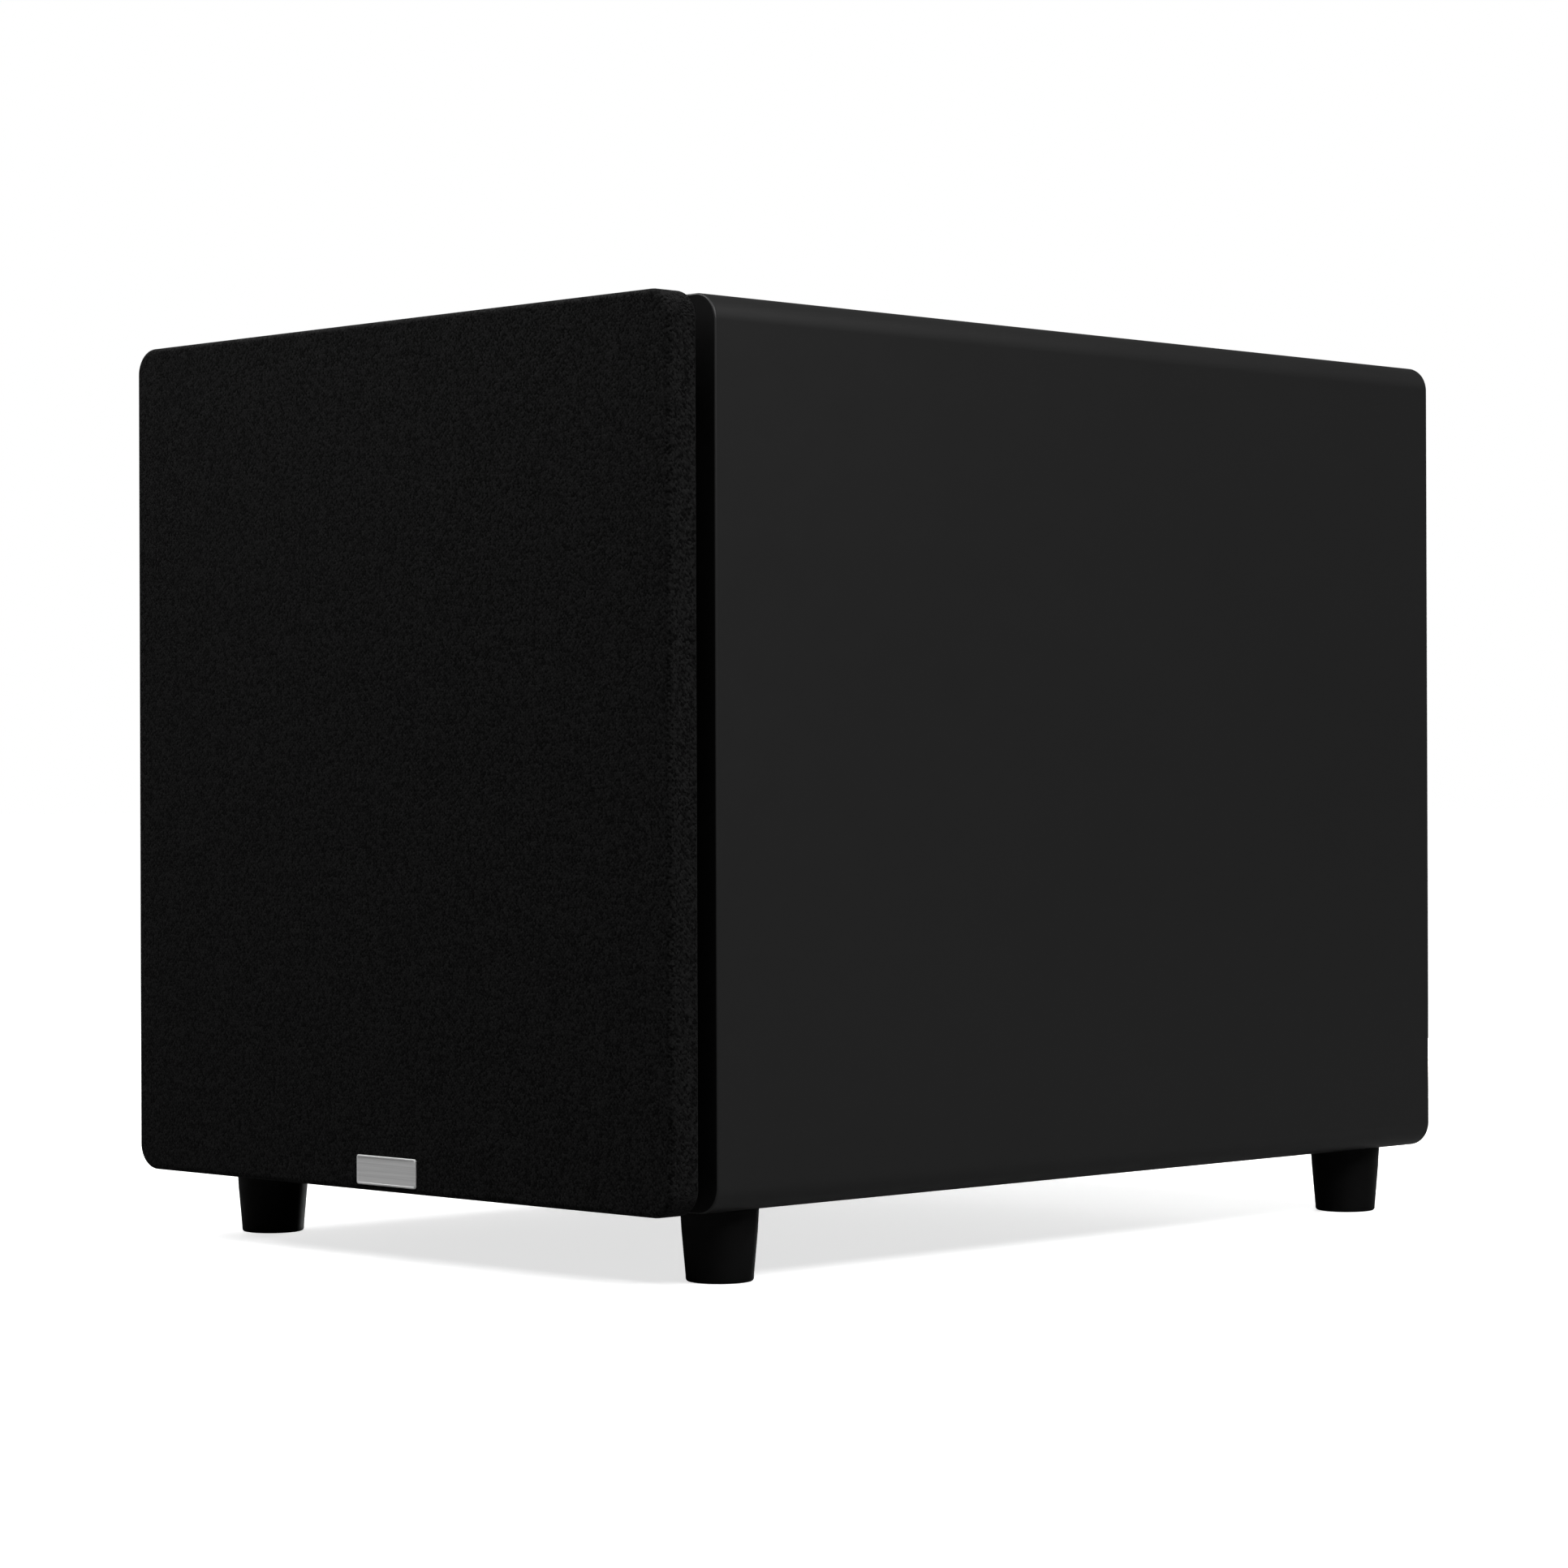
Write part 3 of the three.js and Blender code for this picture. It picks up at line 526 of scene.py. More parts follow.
def wound_wire(name, centre=None, turns=0):
    """Enamelled wire wound round a ring, or stacked along Y where turns is 0."""
    f = Finish(name, (0.5, 0.18, 0.07), 0.35, Metallic=0.8)
    x, y, z = f.axes()
    if turns:
        right = f.calc("SUBTRACT", x, centre.x * MM)
        up = f.calc("SUBTRACT", z, centre.z * MM)
        angle = f.calc("MULTIPLY", f.calc("ARCTAN2", up, right), turns)
        strands = f.spread(f.calc("SINE", angle), 0, 1, -1, 1)
    else:
        strands = f.waves(y, 0.0005)
    f.colours(strands, (0.24, 0.07, 0.025), (0.66, 0.26, 0.1), 0.1, 0.8)
    return f.bump(strands, 0.7, 0.0003).material


def fibre_fill():
    f = Finish("fibre_fill", (0.72, 0.71, 0.67), 1.0, Sheen_Weight=0.3)
    tangle = f.noise(150, 10, distortion=6)
    f.colours(tangle, (0.5, 0.49, 0.45), (0.82, 0.81, 0.78))
    return f.bump(tangle, 0.9, 0.002).material


def circuit():
    f = Finish("circuit_board", (0.01, 0.12, 0.04), 0.4, Coat_Weight=0.3)
    tracks = f.cells(130, feature="DISTANCE_TO_EDGE")
    f.colours(tracks, (0.03, 0.2, 0.07), (0.008, 0.09, 0.03), 0.03, 0.06)
    return f.bump(tracks, 0.2, 0.0001).material


def lens():
    f = Finish("led_lens", (0.02, 0.16, 0.6), 0.15, Coat_Weight=0.6)
    f.colours(f.noise(800, 2), (0.015, 0.12, 0.5), (0.03, 0.2, 0.7))
    return f.rough(f.noise(300, 2), 0.1, 0.22).material


def print_ink():
    f = Finish("printed_ink", grey(0.55), 0.7)
    f.colours(f.noise(1500, 3), grey(0.42), grey(0.62), 0.35, 0.65)
    return f.bump(f.noise(2500, 2), 0.2, 0.00003).material


LACQUER = lacquer()
BLACK_BOARD = board_black()
RAW_BOARD = board_raw()
CLOTH = knitted_cloth()
PLASTIC = moulded("moulded_black", grey(0.0095), 0.5)
RED_PLASTIC = moulded("moulded_red", (0.36, 0.012, 0.01), 0.42)
WHITE_PLASTIC = moulded("moulded_white", (0.7, 0.69, 0.66), 0.42)
FOOT_RUBBER = moulded("foot_rubber", grey(0.0022), 0.62, 1100, 0.2, 0.1)
SOFT_RUBBER = moulded("soft_rubber", grey(0.0075), 0.62, 900, 0.3)
ROLL_RUBBER = moulded("surround_rubber", grey(0.0095), 0.44, 1300, 0.12)
PLATE_COAT = powder_coat("plate_powder_coat", 0.013)
BASKET_COAT = powder_coat("basket_powder_coat", 0.012, 0.5)
ANODISED = metal("black_anodised", grey(0.035), 0.42, (1, 1, 0.02))
ZINC = metal("zinc_plate", grey(0.58), 0.36, (5, 5, 5), 0.08)
BLACK_SCREW = metal("black_screw", grey(0.045), 0.38)
NICKEL = metal("nickel", (0.66, 0.63, 0.58), 0.22)
GOLD = metal("gold_flash", (0.78, 0.54, 0.2), 0.25)
BRUSHED = metal("brushed_badge", grey(0.66), 0.5, (0.05, 1, 6), 0.12, 0.15)
FERRITE = moulded("ferrite", grey(0.022, 1.1), 0.6, 700, 0.5)
PULP = pulp()
SPIDER = spider_weave()
COIL = wound_wire("voice_coil_wire")
TOROID = wound_wire("toroid_wire", middle("transformer"), 150)
WADDING = fibre_fill()
CIRCUIT = circuit()
SLEEVE = moulded("capacitor_sleeve", (0.012, 0.016, 0.03), 0.3, 1500, 0.1)
LENS = lens()
INK = print_ink()


# ---------------------------------------------------------------- camera and light


def camera():
    """At the middle of the cabinet's height, looking across it from its front right."""
    data = bpy.data.cameras.new("camera")
    data.sensor_width = 36
    data.lens = 100.2
    made = linked("camera", data)
    made.location = (1.5108, -1.5145, 0.2127)
    made.rotation_euler = (radians(90.04), radians(0.19), radians(45.241))
    bpy.context.scene.camera = made


def soft_light(name, place, target, size, watts):
    """A square lamp turned towards a target. Places and size are in metres."""
    data = bpy.data.lights.new(name, "AREA")
    data.shape = "SQUARE"
    data.size = size
    data.energy = watts
    made = linked(name, data)
    made.location = place
    made.rotation_euler = (Vector(target) - Vector(place)).to_track_quat("-Z", "Y").to_euler()


def lamps():
    """A soft light from above and a large lamp for each side that a view may show."""
    overhead = linked("overhead", bpy.data.lights.new("overhead", "SUN"))
    overhead.data.energy = 1.1
    overhead.data.angle = radians(60)
    overhead.rotation_euler = (radians(16), radians(3), 0)
    soft_light("right_side", (1.25, -0.1, 1.3), (0.185, 0, 0.4), 0.8, 26.5)
    soft_light("front", (-0.1, -0.62, 1.0), (0, -0.26, 0.42), 0.5, 5.2)
    soft_light("behind", (-0.1, 1.9, 0.55), (0, 0.26, 0.25), 0.8, 9)
    soft_light("rear_panel", (-0.6, 1.5, 0.2), (0, 0.26, 0.2), 0.4, 20)
    soft_light("left_side", (-1.4, -0.2, 1.5), (-0.185, 0, 0.3), 0.8, 17)


def surroundings():
    """A white surround where the camera sees it, and a dim one for the light that it sheds."""
    scene = bpy.context.scene
    scene.view_settings.view_transform = "Standard"
    scene.view_settings.look = "None"
    world = bpy.data.worlds.new("white_surround")
    scene.world = world
    world.use_nodes = True
    nodes, links = world.node_tree.nodes, world.node_tree.links
    seen, shed = nodes["Background"], nodes.new("ShaderNodeBackground")
    for background, strength in [(seen, 1.0), (shed, 0.05)]:
        background.inputs["Color"].default_value = (1, 1, 1, 1)
        background.inputs["Strength"].default_value = strength
    choice = nodes.new("ShaderNodeMixShader")
    links.new(nodes.new("ShaderNodeLightPath").outputs["Is Camera Ray"], choice.inputs[0])
    links.new(shed.outputs[0], choice.inputs[1])
    links.new(seen.outputs[0], choice.inputs[2])
    links.new(choice.outputs[0], nodes["World Output"].inputs["Surface"])


def endless_floor():
    """A floor that looks nearly white and sends back less light than it shows."""
    size, thick, drop = 60000, 20, 0.05
    white = (1, 1, 1, 1)
    pale = Finish("pale_floor", grey(0.8), 0.9, Specular_IOR_Level=0.05, Emission_Color=white)
    seen = pale.node("LightPath").outputs["Is Camera Ray"]
    shade = pale.node("Mix", data_type="RGBA")
    for socket, source in {"Factor": seen, "A": (*grey(0.22), 1), "B": (*grey(0.8), 1)}.items():
        pale.feed(shade, socket, source)
    pale.feed(pale.shader, "Base Color", shade.outputs["Result"])
    pale.rough(pale.noise(3, 3), 0.85, 0.95)
    pale.feed(pale.shader, "Emission Strength", pale.calc("MULTIPLY", seen, 0.72))
    floor = make("floor", slab(size, size, 1, -thick, -drop, axis="Z"), pale.material, body=None)


# ---------------------------------------------------------------- screws

# Each turns a screw head that faces -Y.
FORWARDS = Matrix.Identity(4)
BACKWARDS = Matrix.Rotation(pi, 4, "Z")
DOWNWARDS = Matrix.Rotation(pi / 2, 4, "X")


def screw_head(radius, height):
    """A pan head with a cross recess. It faces -Y, with its seat at the origin."""
    crown = [(radius * c, -height * s) for c, s in [(1, 0.25), (0.93, 0.62), (0.72, 0.9), (0.4, 1)]]
    head = turned([(0, 0.4), (radius, 0.4), (radius, 0), *crown, (0, -height)], (0, 0), steps=24)
    length, width = radius * 1.24, radius * 0.26
    for bar in [(length, width), (width, length)]:
        head = carved(head, brick(*bar, -height * 2, -height * 0.42, (0, 0), 0.02))
    return head


def screws(name, radius, height, places, way, finish):
    """A screw head at each place, each one turned a little further than the last."""
    turns = [Matrix.Rotation(1.7 * i, 4, "Y") for i in range(len(places))]
    at = [Matrix.Translation(place) @ way @ turn for place, turn in zip(places, turns)]
    make(name, copies(screw_head(radius, height), at), finish)


# ---------------------------------------------------------------- cabinet

PORT_HOLE = 53  # radius of the hole in the floor panel
PLATE_LAP = 16  # how far the amplifier plate laps over the rear panel


def cabinet():
    """Four walls in one lacquered wrap, with the port's hole in the floor panel."""
    opening = rounded(WIDTH - 2 * WALL, HEIGHT - 2 * WALL, 2, AXIS, 14)
    rings = [
        (d, rounded(WIDTH - 2 * i, HEIGHT - 2 * i, CORNER - i, AXIS, 14))
        for d, i in edge_rings(FRONT, REAR, 1.1)
    ]
    shell = hoop([*rings, (REAR, opening), (FRONT, opening)])
    port_x, port_y, _ = middle("port_tube")
    hole = rod(PORT_HOLE, UNDERSIDE - 5, UNDERSIDE + WALL + 5, (port_x, port_y), "Z", steps=96)
    walls = make("cabinet", carved(shell, hole), LACQUER, "cabinet_shell")
    # The front end takes the black board finish: painted shade where the gap behind the grille lies in
    # shadow.
    walls.data.materials.append(BLACK_BOARD)
    for face in walls.data.polygons:
        if face.normal.y < -0.9 and face.center.y < (FRONT + 0.5) * MM:
            face.material_index = 1  # the front end is matt black like the baffle, as painted shade for the dark gap behind the grille


def back_panel():
    """The rear board with the amplifier's opening."""
    low, high = box("rear_panel")
    width, height = extent("rear_panel")
    rings = [
        (d, rounded(width - 2 * i, height - 2 * i, 2, AXIS))
        for d, i in edge_rings(low.y, high.y, 0.5)
    ]
    opening = rounded(*(side - 2 * PLATE_LAP for side in extent("amp_plate")), 6, AXIS)
    panel = hoop([*rings, (high.y, opening), (low.y, opening)])
    make("back_panel", panel, LACQUER, "rear_panel")


def baffle():
    """The board behind the grille, with the woofer's stepped hole and four blind holes for sockets."""
    low, high = box("front_baffle")
    board = slab(*extent("front_baffle"), 2, low.y, high.y, AXIS, 0.5)
    seat, step, through = box("driver_basket")[1].x + 0.8, low.y + 6, 141
    before, behind = low.y - 5, high.y + 5
    profile = [
        (0, before), (seat, before), (seat, step), (through, step), (through, behind), (0, behind),
    ]
    woofer_hole = turned(profile, AXIS, steps=144)
    sockets = [rod(5.4, before, low.y + 17, place, edge=0.05) for place in peg_places()]
    board = carved(board, woofer_hole, *sockets, edge=0.5)
    make("baffle", board, BLACK_BOARD, "front_baffle")


def feet():
    """Four tapered rubber feet, each with a screw up through its middle."""
    hole, head_hole, seat = 2.6, 4.5, 24
    taper, toe = 2.6, 2.6
    places = []
    for name in ["front_left", "front_right", "rear_left", "rear_right"]:
        low, high = box(f"foot_{name}")
        x, y, _ = middle(f"foot_{name}")
        top, tall = (high.x - low.x) / 2, high.z
        bottom = top - taper
        side = [(bottom + taper * (z - toe) / (tall - toe), z) for z in (toe, 12, 22)]
        profile = [
            (hole, seat), (head_hole, seat), (head_hole, 0.6), (head_hole + 0.4, 0.15),
            (head_hole + 1, 0), (bottom - 1.5, 0), (bottom - 0.8, 0.15), (bottom - 0.3, 0.55),
            (bottom - 0.05, 1.2), *side, (top - 0.35, tall - 0.9), (top - 0.8, tall), (hole, tall),
        ]
        foot = turned(profile, (x, y), "Z", 72)
        make(f"rubber_foot_{name}", foot, FOOT_RUBBER, f"foot_{name}")
        places.append((x, y, seat - 0.5))
    screws("foot_screws", 4, 2.4, places, DOWNWARDS, ZINC)


def port():
    """A flanged tube with a flared mouth that opens downwards."""
    low, high = box("port_tube")
    x, y, _ = middle("port_tube")
    flange, bore, mouth, flare, skin = (high.x - low.x) / 2, 38, 52, 18, 3
    curve = [
        (bore + (mouth - bore) * (1 - sin(a)), low.z + flare * (1 - cos(a)))
        for a in np.linspace(0.06, pi / 2, 14)
    ]
    profile = [
        (flange, UNDERSIDE - 0.1), (flange, low.z + 1), (flange - 0.3, low.z + 0.3),
        (flange - 1, low.z), *curve, (bore, high.z - 1), (bore + 0.5, high.z), (bore + skin, high.z),
        (bore + skin, UNDERSIDE + WALL + 2), (mouth - 1, UNDERSIDE + 3), (mouth - 1, UNDERSIDE - 0.1),
    ]
    make("port", turned(profile, (x, y), "Z", 120), PLASTIC, "port_tube")
    ring = (flange + mouth) / 2 + 0.3
    places = [(u, v, low.z + 0.1) for u, v in around((x, y), ring, [45, 135, 225, 315])]
    screws("port_screws", 2.7, 1.2, places, DOWNWARDS, BLACK_SCREW)


def wadding():
    """A lumpy batt of loose fibre under the cabinet's top."""
    low, high = box("wadding")
    batt = block(low, high, 9)
    bmesh.ops.triangulate(batt, faces=batt.faces)
    target = loose_object(batt)
    remesh = target.modifiers.new("even", "REMESH")
    remesh.mode = "VOXEL"
    remesh.voxel_size = 4
    shape = finished(target)
    centre = (low + high) / 2
    gap, lumps, pitch = 3.0, 3.0, 0.03
    for vertex in shape.verts:
        lump = smooth_noise.fractal(vertex.co * pitch, 1.0, 2.0, 3)
        vertex.co -= (vertex.co - centre).normalized() * (gap + lumps * lump)
    batt = make("fibre_batt", shape, WADDING, "wadding", sharp_over=80)


# ---------------------------------------------------------------- woofer

CONE_EDGE, CONE_LIP = 117.5, 113  # the cone's rim, and how far in the surround is glued to it
NECK = 32.8  # the cone's inner radius, where it meets the voice coil
BOLT_RING = 151.2


def woofer_ring(profile, steps=144):
    """A profile of (radius, depth behind the cabinet's front) turned about the woofer's axis."""
    return turned([(r, FRONT + d) for r, d in profile], AXIS, steps=steps)


def basket():
    """The cast frame with six windows."""
    flange = [(136.5, 2), (154.7, 2), (155.2, 2.2), (155.5, 2.7), (155.5, 5.9), (140.3, 5.9)]
    outside = [(139, 12), (80.5, 84), (76.5, 89), (71, 92), (36.5, 92), (36.5, 88)]
    inside = [
        (66, 88), (71, 86.6), (76.5, 82), (89.8, 66), (84, 63), (84, 60), (94.8, 60), (135.5, 11),
        (136, 2.5),
    ]
    windows = []
    for i in range(6):
        sweep = np.linspace(60 * i - 21, 60 * i + 21, 9)
        outline = around(AXIS, 131, sweep) + around(AXIS, 99, sweep[::-1])
        windows.append(prism(outline, FRONT + 8, FRONT + 59, 0.01, fillet=6))
    casting = carved(woofer_ring(flange + outside + inside), *windows, edge=0.6)
    make("basket", casting, BASKET_COAT, "driver_basket")


def basket_trim():
    """The gasket ring on the basket's flange and the flange's eight screws."""
    gasket = [
        (139.9, -1.7), (140.3, -2.3), (141, -2.5), (146, -2.5), (146.7, -2.2), (147, -1.6), (147, 0),
        (139.9, 0),
    ]
    make("gasket_ring", woofer_ring(gasket), SOFT_RUBBER, "driver_gasket")
    places = [(u, FRONT + 1.9, v) for u, v in around(AXIS, BOLT_RING, np.arange(8) * 45 + 22.5)]
    screws("basket_screws", 3.1, 1.9, places, FORWARDS, BLACK_SCREW)


def woofer_cone():
    """The ribbed paper cone and the dome over its neck, which move together."""
    slope, rib, paper = 0.632, 0.5, 2.0
    ribs = [
        (r, 5.0 + (110 - r) * slope - rib * cos((r - 60) * 0.42)) for r in range(110, 58, -1)
    ]
    behind = [(r, d + paper) for r, d in reversed(ribs)]
    face = [(CONE_EDGE, 1.6), (CONE_LIP, 2.6), *ribs, (NECK, 54)]
    back = [(NECK, 56), *behind, (CONE_LIP, 4.9), (CONE_EDGE, 3.1)]
    make("paper_cone", woofer_ring(face + back), PULP, "cone", body="cone")

    sphere, top, skin = 81.2, 16.0, 1.2
    rim = degrees(asin(56 / sphere))
    outside = arc((0, top + sphere), sphere, 270, 270 + rim, 24)
    inside = arc((0, top + sphere), sphere - skin, 270 + rim - 0.6, 270, 24)
    profile = [(max(r, 0), d) for r, d in [*outside, (57.2, 37.6), (57.4, 37.9), *inside]]
    make("dome", woofer_ring(profile), PULP, "dust_cap", body="cone")


def stretchy(piece):
    """Moves a ring's placement into its mesh, so the object itself sits at the origin."""
    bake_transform(piece)


def surround():
    """A half-round rubber roll from the basket to the cone."""
    crest, roll, outer = 128, 11.0, 146
    front, back = 0.2, 1.2
    over = arc((crest, front), roll, 180, 360, 28)
    under = arc((crest, back), roll - 1.0, 360, 180, 28)
    profile = [(CONE_LIP, front), *over, (outer, front), (outer, back), *under, (CONE_LIP, back)]
    piece = make("rubber_surround", woofer_ring(profile, 180), ROLL_RUBBER, "surround", body=None)
    stretchy(piece)


def spider():
    """A round corrugated web that centres the voice coil."""
    inner, outer, flat_depth = 38, 84, 58.8
    wave, pitch, skin = 1.6, 9, 0.7

    def corrugation(r):
        fade = min(1, (r - inner) / 4, (outer - r) / 4)
        return 59.1 + wave * sin((r - 40) * 2 * pi / pitch) * fade

    front = [(32.7, flat_depth), (inner, flat_depth)]
    front += [(r, corrugation(r)) for r in np.arange(inner + 0.5, outer, 1.0)]
    front += [(outer + 0.5, flat_depth), (90, flat_depth)]
    back = [(r, d + skin) for r, d in reversed(front)]
    piece = make("woven_spider", woofer_ring(front + back, 120), SPIDER, "spider", body=None)
    stretchy(piece)


# ---------------------------------------------------------------- grille


def peg_places():
    """Where the pegs are across the front, in the order of PEGS."""
    return [across(f"grille_peg_{name}") for name in PEGS]


def grille_board():
    """The frame that the cloth is stretched over, with a chamfered opening."""
    low, high = box("grille_frame")
    width, height = extent("grille_frame")
    opening, corner = (320, 340, 60), CORNER - 1.2
    rings = [
        (d, rounded(width - 2 * i, height - 2 * i, corner - i, AXIS, 14))
        for d, i in edge_rings(low.y, high.y, 0.8)
    ]
    rings += [
        (d, rounded(*(size + 2 * grow for size in opening), AXIS, 14))
        for d, grow in [(high.y, 5), (high.y - 5, 0), (low.y + 1, 0), (low.y, 1)]
    ]
    make("grille_board", hoop(rings), BLACK_BOARD, "grille_frame", body="grille")


def pegs_and_sockets():
    """A peg on the frame and a rubber cup in the baffle, near each corner."""
    collar, hub = GRILLE_BACK - 0.8, 3
    cup = [(3.4, -0.9), (3.9, -1.4), (7.2, -1.5), (7.8, -1.1), (8, -0.1), (5.2, -0.1)]
    cup += [(5.2, 16), (0, 16), (0, 14), (3.4, 14)]
    for name, place in zip(PEGS, peg_places()):
        start, tip = [corner.y for corner in box(f"grille_peg_{name}")]
        peg = [
            (0, start), (hub, start), (hub, collar), (5.7, collar), (6, collar + 0.3),
            (6, collar + 1.6), (5.6, collar + 2), (3.3, collar + 2), (hub, collar + 2.4),
            (hub, tip - 4), (3.15, tip - 3), (3.0, tip - 1.6), (2.2, tip - 0.4), (1.2, tip), (0, tip),
        ]
        shape = turned(peg, place, steps=40)
        make(f"peg_{name}", shape, PLASTIC, f"grille_peg_{name}", body="grille")
        shape = turned([(r, FRONT + d) for r, d in cup], place, steps=40)
        make(f"socket_{name}", shape, SOFT_RUBBER, f"grille_socket_{name}")


def cloth_rings():
    """The cloth from its middle to its hem: (depth, inset on the grille, reach of the flat cut)."""
    front_round, back_round, side = 2.2, 1.2, CLOTH_THICK / 2
    wrap, hem = 14, 14
    surface, behind = GRILLE_FRONT + side, GRILLE_BACK - side
    rings = [(surface, i, -i) for i in (170, 140, 105, 75, 50, 30, 15, 6, 3.2)]
    for a in np.linspace(0, pi / 2, 7):
        depth, i = [front_round * (1 - turn) for turn in (cos(a), sin(a))]
        rings.append((surface + depth, side + i, front_round * (a - 1.0)))
    rings += [(surface + step, side, step) for step in (5.5, 9.5)]
    for a in np.linspace(0, pi / 2, 5):
        depth, i = [back_round * (1 - turn) for turn in (sin(a), cos(a))]
        rings.append((behind - depth, side + i, wrap + back_round * a))
    return rings + [(behind, step, wrap + step) for step in (4, 9, hem)]


def cloth_outline(reach):
    """The grille's outline moved outwards."""
    corner = max(CORNER + reach, 0.1)
    return rounded(WIDTH + 2 * reach, HEIGHT + 2 * reach, corner, AXIS, 12)


def fabric():
    """One cloth over the front, round the frame's edge and in behind it. Its UVs are its flat cut."""
    shape = bmesh.new()
    uv = shape.loops.layers.uv.new("cut")
    flat, rows = {}, []
    for depth, indent, outwards in cloth_rings():
        row = []
        for (u, v), place in zip(cloth_outline(-indent), cloth_outline(outwards)):
            row.append(shape.verts.new((u, depth, v)))
            flat[row[-1]] = Vector(place) * MM
        rows.append(row)
    shape.faces.new(rows[0])
    for first, second in zip(rows, rows[1:]):
        bridge(shape, first, second)
    for face in shape.faces:
        for loop in face.loops:
            loop[uv].uv = flat[loop.vert]
    bmesh.ops.recalc_face_normals(shape, faces=shape.faces)
    target = loose_object(shape)
    solid = target.modifiers.new("thickness", "SOLIDIFY")
    solid.thickness = CLOTH_THICK
    solid.offset = 0
    nodes = ["grille_cloth", "cloth_fold"]
    cloth = make("grille_fabric", finished(target), CLOTH, *nodes, body="grille", sharp_over=60)


def badge():
    """A blank brushed plate with a thin raised rim."""
    low, high = box("badge")
    place, corner = across("badge"), 1.2
    width, height = extent("badge")
    plate = slab(width, height, corner, low.y + 0.25, high.y, place, 0.25)
    section = [(0.3, 0), (0, 0.3), (0, 0.75), (0.3, 1.0), (0.6, 1.0), (0.6, 0)]
    rim = hoop([
        (low.y + d, rounded(width - 2 * i, height - 2 * i, corner - i, place))
        for d, i in section
    ])
    make("badge_plate", joined(plate, rim), BRUSHED, "badge", body="grille")


# ---------------------------------------------------------------- amplifier panel

PROUD = PLATE_FACE + 0.1  # where flanges start, just clear of the plate's face
SLIDE = 4.5  # travel of a slide switch
DRAWER_DROP = 16  # the fuse drawer's place under the inlet's middle
ROUND_HOLES = {"volume_knob": 4, "crossover_knob": 4, "status_led": 2.8, "transformer_bolt": 3.4}
SQUARE_HOLES = {
    "line_jacks": (80.6, 16.6),
    "terminal_block": (78.6, 28.6),
    "mains_inlet": (26.6, 46.6),
    "switch_bezel": (20, 29),
}


def amp_plate():
    """The plate with a hole for each control and socket."""
    low, high = PLATE_LOW, PLATE_HIGH
    plate = slab(*extent("amp_plate"), 8, low.y, high.y, AXIS, 0.7, steps=12)
    span = (low.y - 3, high.y + 3)
    holes = [rod(radius, *span, across(node), edge=0.05) for node, radius in ROUND_HOLES.items()]
    for node in ("phase_slider", "mode_slider"):
        x, z = across(node)
        holes.append(brick(SLIDE + 4.2, 4.2, *span, (x + SLIDE / 2, z), 0.3))
    holes += [brick(*size, *span, across(node), 0.3) for node, size in SQUARE_HOLES.items()]
    make("panel_plate", carved(plate, *holes, edge=0.25), PLATE_COAT, "amp_plate")


def panel_screws():
    """Ten screws round the plate's edge."""
    reach_x, reach_z = PLATE_HIGH.x - 7, (PLATE_HIGH.z - PLATE_LOW.z) / 2 - 7
    spots = [(sx, sz) for sx in (-1, 1) for sz in (-1, 0, 1)]
    spots += [(sx / 3, sz) for sx in (-1, 1) for sz in (-1, 1)]
    places = [(sx * reach_x, PLATE_FACE - 0.05, AXIS_Z + sz * reach_z) for sx, sz in spots]
    screws("panel_screws", 3.4, 2.1, places, BACKWARDS, BLACK_SCREW)


def foam_seal():
    """The gasket between the plate and the rear panel."""
    low, high = box("amp_gasket")
    width = 12
    outer = rounded(*extent("amp_gasket"), 7, AXIS)
    inner = rounded(*(side - 2 * width for side in extent("amp_gasket")), 6, AXIS)
    seal = hoop([(low.y, outer), (high.y, outer), (high.y, inner), (low.y, inner)])
    make("foam_seal", seal, SOFT_RUBBER, "amp_gasket")


def printed_marks():
    """Dial ticks, frames round the sockets and a dot at each end of a slot, printed on the plate."""
    under, top = PLATE_FACE - 0.1, PLATE_FACE + 0.12
    line, margin, corner = 0.35, 4, 3
    marks = []
    for node in ("volume_knob", "crossover_knob"):
        x, z = across(node)
        tick = block((-line, under, 13.2), (line, top, 15.8), 0.05)
        turns = [
            Matrix.Translation((x, 0, z)) @ Matrix.Rotation(radians(a), 4, "Y")
            for a in range(-150, 151, 30)
        ]
        marks.append(copies(tick, turns))
    for node in ("line_jacks", "terminal_block"):
        size = [side + 2 * margin for side in extent(node)]
        outer = rounded(*size, corner, across(node))
        inner = rounded(*(side - 2 * line for side in size), corner - line, across(node))
        marks.append(hoop([(under, outer), (top, outer), (top, inner), (under, inner)]))
    for node in ("phase_slider", "mode_slider"):
        x, z = across(node)
        marks += [brick(1, 1, under, top, (x + step, z), 0.05) for step in (-4.2, SLIDE + 4.2)]
    make("printed_marks", joined(*marks), INK)


